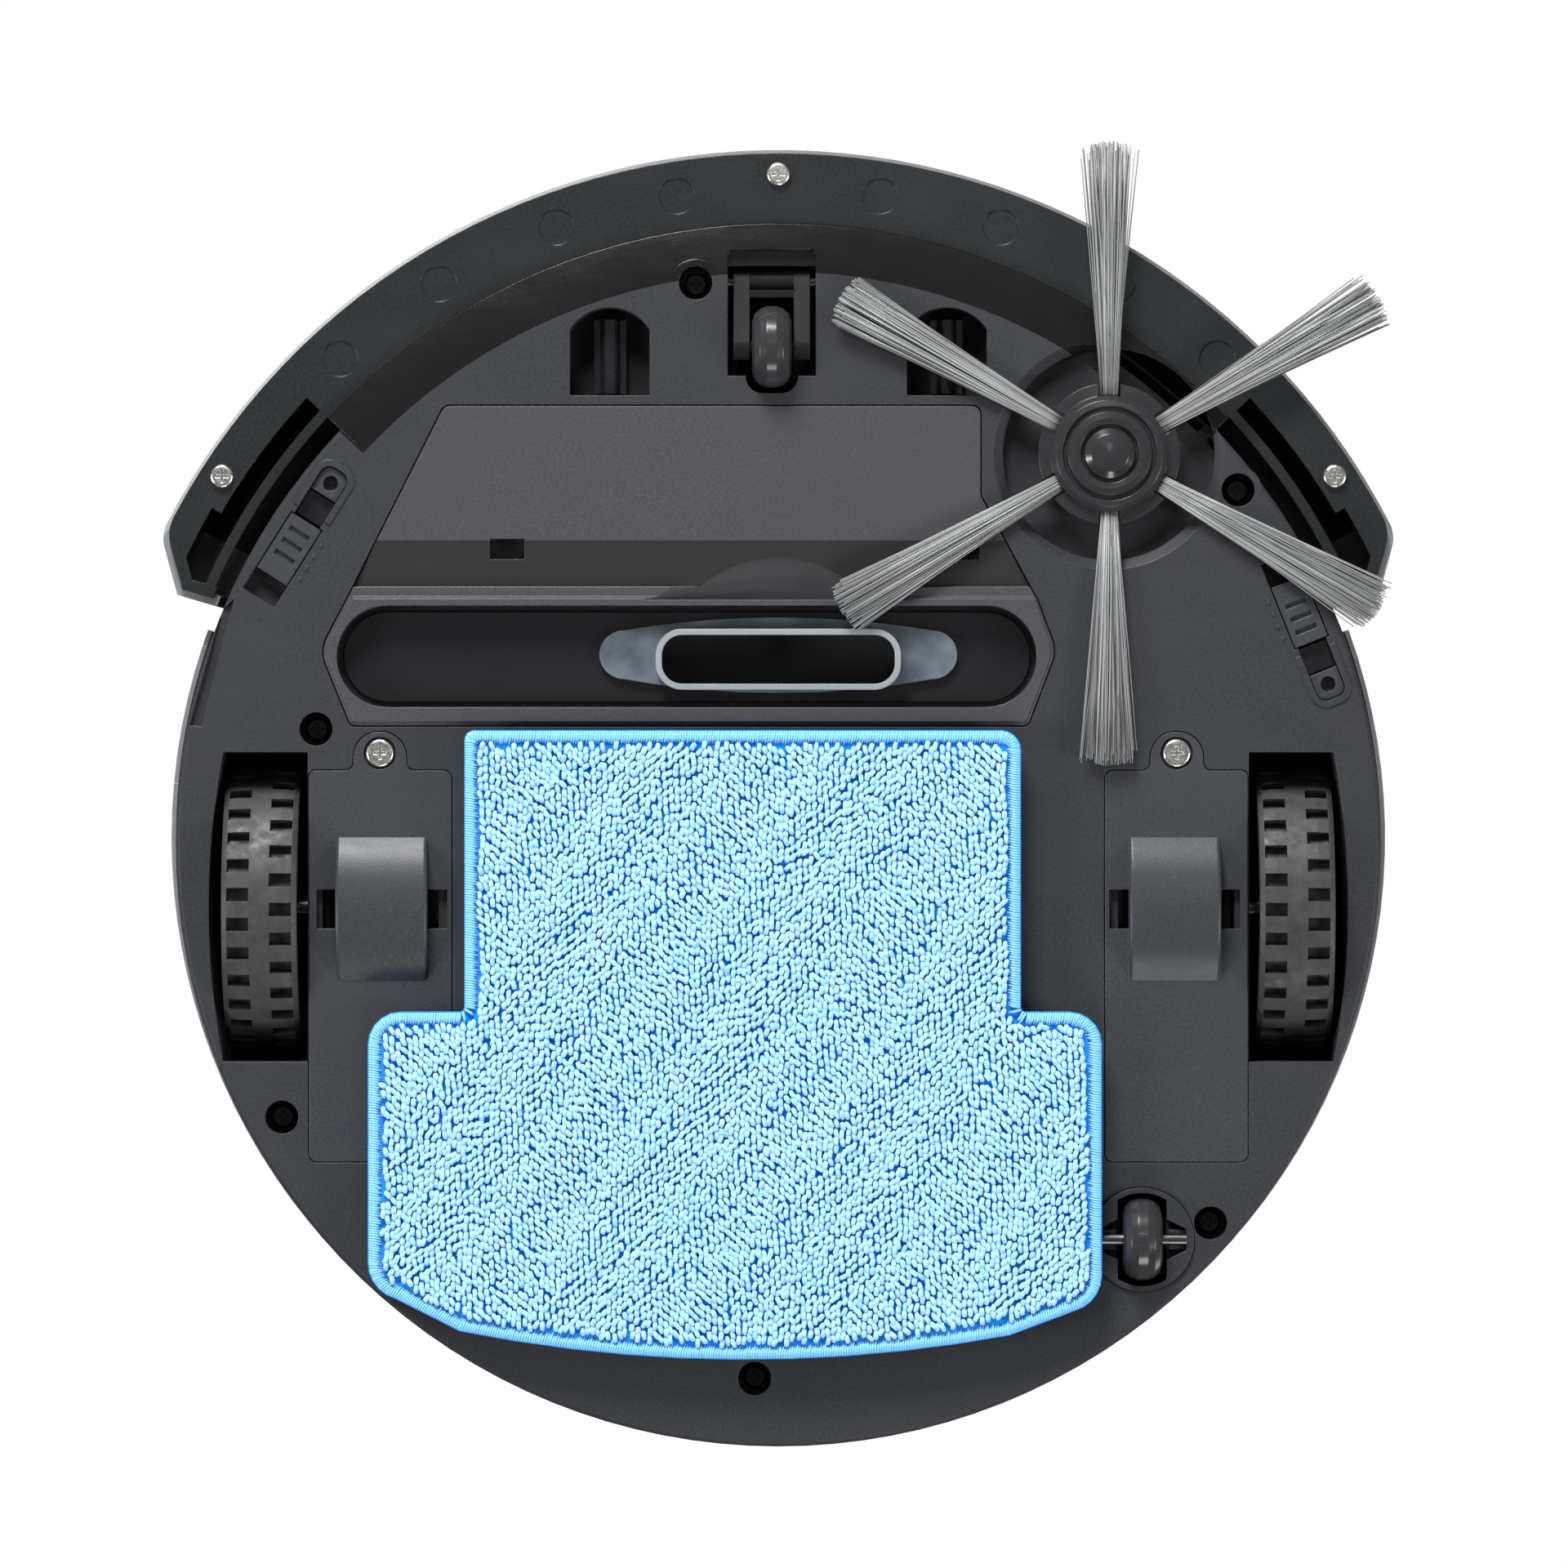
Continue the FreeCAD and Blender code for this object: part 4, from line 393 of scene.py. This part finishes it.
# %%
def metal(name, colour, rough=0.28, stretch=(1, 1, 1), scale=1500.0, relief=0.00001):
    material, tree, shader, place = new_material(name)
    streaks = noise(tree, place, scale, 4, 0.6, stretch)
    darker = tuple(c * 0.72 for c in colour)
    tree.links.new(blend_colour(tree, curve(tree, streaks, 0.3, 0.7), darker, colour),
                   shader.inputs["Base Color"])
    tree.links.new(curve(tree, streaks, 0.3, 0.7, rough - 0.08, rough + 0.12),
                   shader.inputs["Roughness"])
    shader.inputs["Metallic"].default_value = 1.0
    bump(tree, shader, streaks, relief, 0.6, 0.0002)
    MATERIALS[name] = material


metal("screw_steel", (0.78, 0.77, 0.74))
metal("axle_steel", (0.12, 0.12, 0.125), 0.32, (0.1, 1, 1))
metal("motor_steel", (0.55, 0.55, 0.57), 0.34, (0.05, 1, 1), 900)
metal("spring_steel", (0.62, 0.62, 0.64), 0.24)
metal("bronze_bush", (0.58, 0.38, 0.20), 0.42, (1, 1, 1), 2600, 0.00004)
print("metals made")

# %% [markdown]
# ## The remaining finishes
# The circuit board is green solder mask with faint copper tracks under it. The filter is
# pleated paper with visible fibres. The drawer's tank and the receiver's dome are smoked
# clear plastic: dark, glossy and see-through.

# %%
board, tree, shader, place = new_material("board_green")
tracks = tree.nodes.new("ShaderNodeTexBrick")
tracks.inputs["Scale"].default_value = 160
tracks.inputs["Color1"].default_value = (0.015, 0.10, 0.035, 1)
tracks.inputs["Color2"].default_value = (0.018, 0.13, 0.045, 1)
tracks.inputs["Mortar"].default_value = (0.05, 0.24, 0.08, 1)
tree.links.new(place, tracks.inputs["Vector"])
tree.links.new(tracks.outputs["Color"], shader.inputs["Base Color"])
shader.inputs["Roughness"].default_value = 0.25
bump(tree, shader, tracks.outputs["Fac"], 0.00003)
MATERIALS["board_green"] = board

paper, tree, shader, place = new_material("filter_paper")
fibres = noise(tree, place, 2400, 5, 0.7, (1, 0.3, 1))
tree.links.new(blend_colour(tree, fibres, (0.70, 0.68, 0.61), (0.92, 0.91, 0.87)),
               shader.inputs["Base Color"])
shader.inputs["Roughness"].default_value = 0.9
bump(tree, shader, fibres, 0.00008)
MATERIALS["filter_paper"] = paper

smoked, tree, shader, place = new_material("smoked_clear")
haze = curve(tree, noise(tree, place, 60, 5), 0.3, 0.8, 0.05, 0.22)
tree.links.new(haze, shader.inputs["Roughness"])
shader.inputs["Base Color"].default_value = (0.20, 0.20, 0.23, 1)
shader.inputs["Transmission Weight"].default_value = 0.85
shader.inputs["IOR"].default_value = 1.49
MATERIALS["smoked_clear"] = smoked

slot_of = {s["node"]: s["material_slot"] for s in frame["record"]["subparts"]}
FINER = {"bumper_frame": "bumper_black", "bumper_cover": "bumper_pearl",
         "brush_hub": "hub_gloss", "front_roller": "roller_gloss", "rear_roller": "roller_gloss",
         "front_roller_arm": "arm_black", "inlet_cover": "inlet_plastic"}
for name, cad in frame["nodes"].items():
    cad.data.materials.clear()
    finish = FINER.get(name, slot_of[name])
    if finish in MATERIALS:
        cad.data.materials.append(MATERIALS[finish])
print("finishes on the CAD:", len(MATERIALS))

# %% [markdown]
# ## Strands
# Bristles, mop loops and hem stitches are all short tubes. Building thousands of them one by
# one would be slow, so a few different tubes are made with bmesh operators: a circle is
# extruded once per point of its line and each new ring is turned to face along the line. The
# tubes are then copied many times into one piece, each copy with its own place and turn.

# %%
def tube(line, radii, sides=6):
    """Closed tube through the points of a line, as a mesh to be copied."""
    def ring_at(i):
        ahead = line[min(i + 1, len(line) - 1)] - line[max(i - 1, 0)]
        turn = ahead.to_track_quat("Z", "Y").to_matrix().to_4x4()
        return Matrix.Translation(line[i]) @ turn @ Matrix.Scale(radii[i], 4)

    bm = bmesh.new()
    bmesh.ops.create_circle(bm, cap_ends=True, segments=sides, radius=1.0, matrix=ring_at(0))
    cap = bm.faces[:]
    for i in range(1, len(line)):
        rim = [edge for face in cap for edge in face.edges]
        made = bmesh.ops.extrude_face_region(bm, geom=cap + rim)["geom"]
        cap = [g for g in made if isinstance(g, bmesh.types.BMFace)]
        ring = [g for g in made if isinstance(g, bmesh.types.BMVert)]
        bmesh.ops.transform(bm, matrix=ring_at(i) @ ring_at(i - 1).inverted(), verts=ring)
    bmesh.ops.recalc_face_normals(bm, faces=bm.faces)
    mesh = bpy.data.meshes.new("tube")
    bm.to_mesh(mesh)
    bm.free()
    return mesh


def add_copy(bm, mesh, matrix):
    mesh.transform(matrix)
    bm.from_mesh(mesh)
    mesh.transform(matrix.inverted())


def finished(name, bm, material, body, smooth=True):
    mesh = bpy.data.meshes.new(name)
    bm.to_mesh(mesh)
    bm.free()
    mesh.materials.append(material)
    mesh.polygons.foreach_set("use_smooth", [smooth] * len(mesh.polygons))
    piece = bpy.data.objects.new(name, mesh)
    bpy.context.scene.collection.objects.link(piece)
    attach(piece, body)
    print(name, len(mesh.polygons), "faces")
    return piece


def add_shades(piece, layer_name, values):
    layer = piece.data.attributes.new(layer_name, "FLOAT", "POINT")
    layer.data.foreach_set("value", values)


# %% [markdown]
# ## Side brush
# Each tuft is about a hundred nylon filaments crimped in one socket of the hub. They leave
# it in a narrow bundle and fan out evenly towards the tip, where the cut is a little ragged.
# A few stray ones stand apart. Six filaments with different bends are made, and every copy
# gets its own turn, length and shade of grey.

# %%
BRUSH_CENTRE = (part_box("brush_hub")[0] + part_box("brush_hub")[1]) / 2
TUFT_NEAR = 13.9 * MM
TUFT_TIP = 76.6 * MM
CRIMP_Z = 8.5 * MM
FILAMENTS = 130
STRAYS = 6

filament, tree, shader, place = new_material("bristle")
strand_shade = tree.nodes.new("ShaderNodeAttribute")
strand_shade.attribute_name = "shade"
tree.links.new(blend_colour(tree, strand_shade.outputs["Fac"], (0.085, 0.087, 0.09),
                            (0.42, 0.43, 0.43)), shader.inputs["Base Color"])
shader.inputs["Roughness"].default_value = 0.34
bump(tree, shader, noise(tree, place, 3000, 2), 0.00001)


def bent_filament(bend, droop):
    """Starts along +X at the crimp; bend is the sideways bow at the tip, in metres."""
    length = TUFT_TIP - TUFT_NEAR
    line = [Vector((length * t, bend * t * t, -droop * t * t)) for t in (0, 0.35, 0.7, 1.0)]
    return tube(line, [0.17 * MM, 0.17 * MM, 0.16 * MM, 0.12 * MM], 4)


bends = [bent_filament(bend * MM, droop * MM)
         for bend, droop in ((-1.0, 0.2), (-0.4, 0.8), (0.0, 0.4), (0.3, 0.0), (0.7, 0.6), (1.2, 0.3))]
bm = bmesh.new()
shades = []
for tuft in range(6):
    aim = Matrix.Translation((BRUSH_CENTRE.x, BRUSH_CENTRE.y, CRIMP_Z)) @ Matrix.Rotation(
        math.radians(30 + 60 * tuft), 4, "Z") @ Matrix.Translation((TUFT_NEAR, 0, 0))
    for k in range(FILAMENTS + STRAYS):
        across = random.uniform(-1, 1)
        high = random.uniform(-1, 1) * math.sqrt(1 - 0.8 * across * across)
        fan = math.radians(3.4 * across) + random.gauss(0, 0.005)
        if k >= FILAMENTS:
            fan = math.radians(random.choice((-1, 1)) * random.uniform(4.2, 6.0))
        tilt = math.radians(1.4 - 0.5 * high)
        reach = 1.0 - 0.025 * across * across - 0.05 * random.random() ** 2
        place_one = (aim @ Matrix.Translation((0, 1.9 * MM * across, 0.9 * MM * high))
                     @ Matrix.Rotation(fan, 4, "Z") @ Matrix.Rotation(tilt, 4, "Y")
                     @ Matrix.Diagonal((reach, 1, 1, 1)))
        shape = random.choice(bends)
        add_copy(bm, shape, place_one)
        shades += [min(1.0, max(0.0, random.gauss(0.52, 0.26)))] * len(shape.vertices)
tufts = finished("side_brush_filaments", bm, filament, "side_brush")
add_shades(tufts, "shade", shades)
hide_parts("brush_tufts")

# %% [markdown]
# ## Mop cloth
# The mop is a microfibre pad. Its face is knitted with loops about two millimetres long that
# stand in wavy rows. A pale overlocked hem, three millimetres wide, runs round the
# edge and stops the knit from fraying. The backing is one thin slab cut to the pad's outline,
# and the loops are added as small bent strands over the whole face.

# %%
NARROW = (-76.8 * MM, 59.4 * MM)
FRONT = -26.4 * MM
STEP = 42.5 * MM
SIDE_REAR = 113.0 * MM
LAST_REAR = 127.6 * MM
WIDE = (-100.4 * MM, 79.2 * MM)
FRONT_CORNER = 2.5 * MM
STEP_CORNER = 8.0 * MM
REAR_CORNER = 9.0 * MM
REAR_CREST_X = -8 * MM
REAR_HALF = 90 * MM
REAR_BOW = 11.5 * MM
REAR_STEPS = 12


def corner(x, y, radius, start, end, count=5):
    """Points of a rounded corner; the angles are in degrees round its own centre."""
    turns = [math.radians(start + (end - start) * k / count) for k in range(count + 1)]
    return [Vector((x + radius * math.cos(a), y + radius * math.sin(a), 0)) for a in turns]


def pad_outline():
    """Round the pad from its front corner: the narrow front, the step, the bowed rear."""
    r = FRONT_CORNER
    s = STEP_CORNER
    w = REAR_CORNER
    points = corner(NARROW[0] + r, FRONT + r, r, 270, 180)
    points += corner(NARROW[0] - r * 0.4, STEP - r * 0.4, r * 0.4, 0, 90, 2)
    points += corner(WIDE[0] + s, STEP + s, s, 270, 180)
    points += corner(WIDE[0] + w, SIDE_REAR - w, w, 180, 105)
    for k in range(1, REAR_STEPS):
        x = WIDE[0] + w + (WIDE[1] - WIDE[0] - 2 * w) * k / REAR_STEPS
        u = (x - REAR_CREST_X) / REAR_HALF
        points.append(Vector((x, LAST_REAR - REAR_BOW * u * u, 0)))
    points += corner(WIDE[1] - w, SIDE_REAR + 3 * MM - w, w, 75, 0)
    points += corner(WIDE[1] - s, STEP + s, s, 0, -90)
    points += corner(NARROW[1] + r * 0.4, STEP - r * 0.4, r * 0.4, 90, 180, 2)
    points += corner(NARROW[1] - 2 * r, FRONT + 2 * r, 2 * r, 0, -90)
    return points


PAD = pad_outline()
print("pad outline:", len(PAD), "points")

# %% [markdown]
# To fill the face evenly, each loop needs to know how far it is from the hem. The distance to
# the outline and an inside test are enough: loops nearer to the edge than the hem's width are
# left out, and the hem's own stitches are laid along the outline instead.

# %%
def inside(point):
    hit = False
    for a, b in zip(PAD, PAD[1:] + PAD[:1]):
        if (a.y > point.y) != (b.y > point.y):
            if point.x < a.x + (b.x - a.x) * (point.y - a.y) / (b.y - a.y):
                hit = not hit
    return hit


def edge_distance(point):
    best = 1.0
    for a, b in zip(PAD, PAD[1:] + PAD[:1]):
        run = b - a
        t = max(0.0, min(1.0, (point - a).dot(run) / max(run.length_squared, 1e-12)))
        best = min(best, (point - a - run * t).length)
    return best


def slab(outline, low, high):
    """One face on the outline, extruded upwards."""
    bm = bmesh.new()
    face = bm.faces.new([bm.verts.new((p.x, p.y, low)) for p in outline])
    made = bmesh.ops.extrude_face_region(bm, geom=[face])["geom"]
    top = [g for g in made if isinstance(g, bmesh.types.BMVert)]
    bmesh.ops.translate(bm, vec=(0, 0, high - low), verts=top)
    bmesh.ops.recalc_face_normals(bm, faces=bm.faces)
    return bm


BACKING_LOW = 2.4 * MM
BACKING_TOP = 5.0 * MM
backing, tree, shader, place = new_material("microfibre_backing")
knit = noise(tree, place, 1500, 4, 0.6)
tree.links.new(blend_colour(tree, knit, (0.0, 0.22, 0.80), (0.01, 0.36, 0.92)),
               shader.inputs["Base Color"])
shader.inputs["Roughness"].default_value = 0.95
bump(tree, shader, knit, 0.0003)
pad = finished("mop_backing", slab(PAD, BACKING_LOW, BACKING_TOP), backing, "mop", smooth=False)
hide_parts("mop_cloth")

# %% [markdown]
# Each loop is a short fat arch. They stand close together in columns along the pad, every
# second column half a step further on, and lean a little to one side or the other. The crowns
# are pale cyan and the feet deep blue: the deep blue is painted shade, because less light
# reaches the foot between the loops. The colour is stored on each strand, from foot to crown.

# %%
loop_cloth, tree, shader, place = new_material("mop_microfibre")
painted_light_share = tree.nodes.new("ShaderNodeAttribute")
painted_light_share.attribute_name = "painted_light_share"
fuzz = curve(tree, noise(tree, place, 5200, 3), 0.42, 0.78)
# Painted shade at the loops' feet, deep blue, and painted light on their pale cyan crowns.
shaded_to_lit = blend_colour(tree, painted_light_share.outputs["Fac"], (0.0, 0.25, 0.86), (0.37, 0.72, 1.0))
tree.links.new(blend_colour(tree, fuzz, shaded_to_lit, (0.60, 0.86, 1.0)),
               shader.inputs["Base Color"])
shader.inputs["Roughness"].default_value = 0.9
shader.inputs["Sheen Weight"].default_value = 0.3
bump(tree, shader, noise(tree, place, 3600, 4), 0.00025, 0.9)

COLUMN = 1.36 * MM
STEP_ALONG = 2.05 * MM
LOOP_FOOT = 2.7 * MM
HEM_KEPT_CLEAR = 3.7 * MM


def loop(half, tall, thick):
    """An arch that hangs below the pad along Y: foot, crown, foot."""
    shares = ((-1.0, 0.0, 0.75), (-0.6, 0.8, 1.0), (0.05, 1.0, 1.08), (0.65, 0.78, 1.0),
              (1.0, 0.0, 0.7))
    line = [Vector((0, half * along, LOOP_FOOT - tall * down)) for along, down, _ in shares]
    return tube(line, [thick * wide for _, _, wide in shares])


loops = [loop(half * MM, tall * MM, thick * MM) for half, tall, thick in
         ((0.90, 1.60, 0.66), (1.00, 1.40, 0.62), (0.80, 1.75, 0.68), (1.10, 1.55, 0.60),
          (0.95, 1.85, 0.64), (0.75, 1.45, 0.70))]
# Share of painted light on each point of a loop, from its foot (0) to its crown (1).
loop_light_ramps = [[min(1.0, max(0.0, (LOOP_FOOT - v.co.z) / (1.5 * MM))) for v in shape.vertices]
          for shape in loops]


def add_loops(bm, painted_light_shares, low_y, high_y):
    for column in range(int((WIDE[1] - WIDE[0]) / COLUMN)):
        y = low_y + (0.5 if column % 2 else 0.0) * STEP_ALONG
        while y < high_y:
            x = WIDE[0] + (column + 0.5) * COLUMN + 0.35 * MM * math.sin(y * 210 + column * 0.4)
            spot = Vector((x + random.gauss(0, 0.13 * MM), y + random.gauss(0, 0.2 * MM), 0))
            y += STEP_ALONG * random.uniform(0.9, 1.1)
            if not inside(spot) or edge_distance(spot) < HEM_KEPT_CLEAR:
                continue
            lean = 0.30 * math.sin(spot.x * 120 + spot.y * 60) + random.gauss(0, 0.30)
            tip = Matrix.Rotation(random.gauss(0, 0.12), 4, "X")
            pick = random.randrange(len(loops))
            add_copy(bm, loops[pick], Matrix.Translation(spot) @ Matrix.Rotation(lean, 4, "Z")
                     @ Matrix.Translation((0, 0, LOOP_FOOT)) @ tip
                     @ Matrix.Translation((0, 0, -LOOP_FOOT)))
            shade = random.gauss(0.92, 0.14)
            painted_light_shares += [min(1.0, max(0.0, shade * share)) for share in loop_light_ramps[pick]]


BANDS = [FRONT, 14 * MM, 50 * MM, 76 * MM, 102 * MM, 129 * MM]
for number, (low_y, high_y) in enumerate(zip(BANDS, BANDS[1:])):
    bm = bmesh.new()
    painted_light_shares = []
    add_loops(bm, painted_light_shares, low_y, high_y)
    piece = finished(f"mop_loops_{number}", bm, loop_cloth, "mop")
    add_shades(piece, "painted_light_share", painted_light_shares)

# %% [markdown]
# ## Hem
# An overlocked hem is a row of threads that wrap over the edge, side by side. Each stitch is
# one short strand that leans a little along the edge, from the hem's inner line round to the
# top of the backing.

# %%
hem_thread, tree, shader, place = new_material("hem_thread")
twist = noise(tree, place, 2600, 3, 0.5)
tree.links.new(blend_colour(tree, twist, (0.12, 0.52, 0.90), (0.33, 0.70, 1.0)),
               shader.inputs["Base Color"])
shader.inputs["Roughness"].default_value = 0.8
shader.inputs["Sheen Weight"].default_value = 0.25
bump(tree, shader, twist, 0.0001)

STITCH = 0.62 * MM


def stitch(reach):
    """Thread over the edge: +Y points into the pad, X runs along the edge."""
    line = [Vector((-0.35, reach, 2.5)), Vector((0.0, 1.9, 1.35)), Vector((0.18, 0.5, 1.75)),
            Vector((0.35, 0.25, 4.9))]
    return tube([point * MM for point in line], [0.26 * MM, 0.34 * MM, 0.34 * MM, 0.30 * MM], 5)


stitches = [stitch(reach) for reach in (2.9, 3.15, 3.4)]
bm = bmesh.new()
carry = 0.0
for a, b in zip(PAD, PAD[1:] + PAD[:1]):
    run = b - a
    if run.length < 1e-7:
        continue
    turn = math.atan2(run.y, run.x)
    inward = Matrix.Rotation(turn, 4, "Z") @ Vector((0, 1, 0))
    if not inside((a + b) / 2 + inward * 0.5 * MM):
        turn += math.pi
    t = carry
    while t < run.length:
        add_copy(bm, random.choice(stitches),
                 Matrix.Translation(a + run.normalized() * t) @ Matrix.Rotation(turn, 4, "Z"))
        t += STITCH * random.uniform(0.92, 1.08)
    carry = t - run.length
hem = finished("mop_hem", bm, hem_thread, "mop")

# %% [markdown]
# ## Stage
# The robot stands on a pale floor, but the camera looks up at it from below. The floor's
# shader is see-through from behind, and only the camera sees the floor at all, so lamps under
# it can reach the robot's underside as if it stood on glass.

# %%
floor_bm = bmesh.new()
bmesh.ops.create_grid(floor_bm, x_segments=1, y_segments=1, size=4.0)
floor_mesh = bpy.data.meshes.new("floor")
floor_bm.to_mesh(floor_mesh)
floor_bm.free()
floor = bpy.data.objects.new("floor", floor_mesh)
floor.location.z = -0.4 * MM
bpy.context.scene.collection.objects.link(floor)
floor_look, tree, shader, place = new_material("floor_look")
shader.inputs["Base Color"].default_value = (0.86, 0.86, 0.86, 1)
shader.inputs["Roughness"].default_value = 0.7
see_through = tree.nodes.new("ShaderNodeBsdfTransparent")
side_seen = tree.nodes.new("ShaderNodeNewGeometry")
chosen = tree.nodes.new("ShaderNodeMixShader")
tree.links.new(side_seen.outputs["Backfacing"], chosen.inputs["Fac"])
tree.links.new(shader.outputs["BSDF"], chosen.inputs[1])
tree.links.new(see_through.outputs["BSDF"], chosen.inputs[2])
tree.links.new(chosen.outputs["Shader"], tree.nodes["Material Output"].inputs["Surface"])
floor_mesh.materials.append(floor_look)
floor.visible_diffuse = False
floor.visible_glossy = False
floor.visible_transmission = False
floor.visible_shadow = False
print("floor for the camera only")

# %% [markdown]
# ## Surroundings
# The camera sees a pure white backdrop. The robot itself receives only a fifth of that light,
# so the lamps shape it and its black parts stay black.

# %%
world = bpy.data.worlds.new("studio")
bpy.context.scene.world = world
world.use_nodes = True
nodes = world.node_tree.nodes
links = world.node_tree.links
backdrop = nodes["Background"]
backdrop.inputs["Color"].default_value = (1, 1, 1, 1)
path = nodes.new("ShaderNodeLightPath")
strength = nodes.new("ShaderNodeMapRange")
strength.inputs["To Min"].default_value = 0.20
strength.inputs["To Max"].default_value = 1.0
links.new(path.outputs["Is Camera Ray"], strength.inputs["Value"])
links.new(strength.outputs["Result"], backdrop.inputs["Strength"])
print("white backdrop")

# %% [markdown]
# ## Lamps and camera
# Flat glossy faces act as mirrors, so the broad lamps stand low and far to the sides, where
# the faces that look straight down don't reflect them to the camera. A small weak lamp near
# the camera's axis gives rounded parts a bright point. Two more lamps light the top.

# %%
def lamp(name, place, power, size, aim=(0, 0, 0.02)):
    data = bpy.data.lights.new(name, "AREA")
    data.energy = power
    data.shape = "DISK"
    data.size = size
    light = bpy.data.objects.new(name, data)
    light.location = place
    light.rotation_mode = "QUATERNION"
    light.rotation_quaternion = (Vector(place) - Vector(aim)).to_track_quat("Z", "Y")
    bpy.context.scene.collection.objects.link(light)


lamp("key_below", (-0.35, -1.55, -0.95), 52, 0.7)
lamp("left_below", (-1.60, 0.30, -0.90), 18, 0.6)
lamp("right_below", (1.50, 0.45, -0.90), 16, 0.6)
lamp("rear_below", (0.20, 1.50, -0.80), 9, 0.6)
lamp("key_above", (-0.9, -1.1, 1.5), 12, 1.5)
lamp("fill_above", (1.2, 0.7, 1.0), 9, 1.2)
lamp("sparkle", (0.12, -0.55, -1.85), 0.8, 0.10)

camera_data = bpy.data.cameras.new("camera")
camera_data.lens = 188
camera_data.sensor_width = 36
camera = bpy.data.objects.new("camera", camera_data)
camera.location = (1.4 * MM, -13.2 * MM, -2.0)
camera.rotation_euler = (math.pi, 0, 0)
bpy.context.scene.collection.objects.link(camera)
bpy.context.scene.camera = camera
bpy.context.scene.view_settings.view_transform = "Standard"
print("lamps and camera ready")
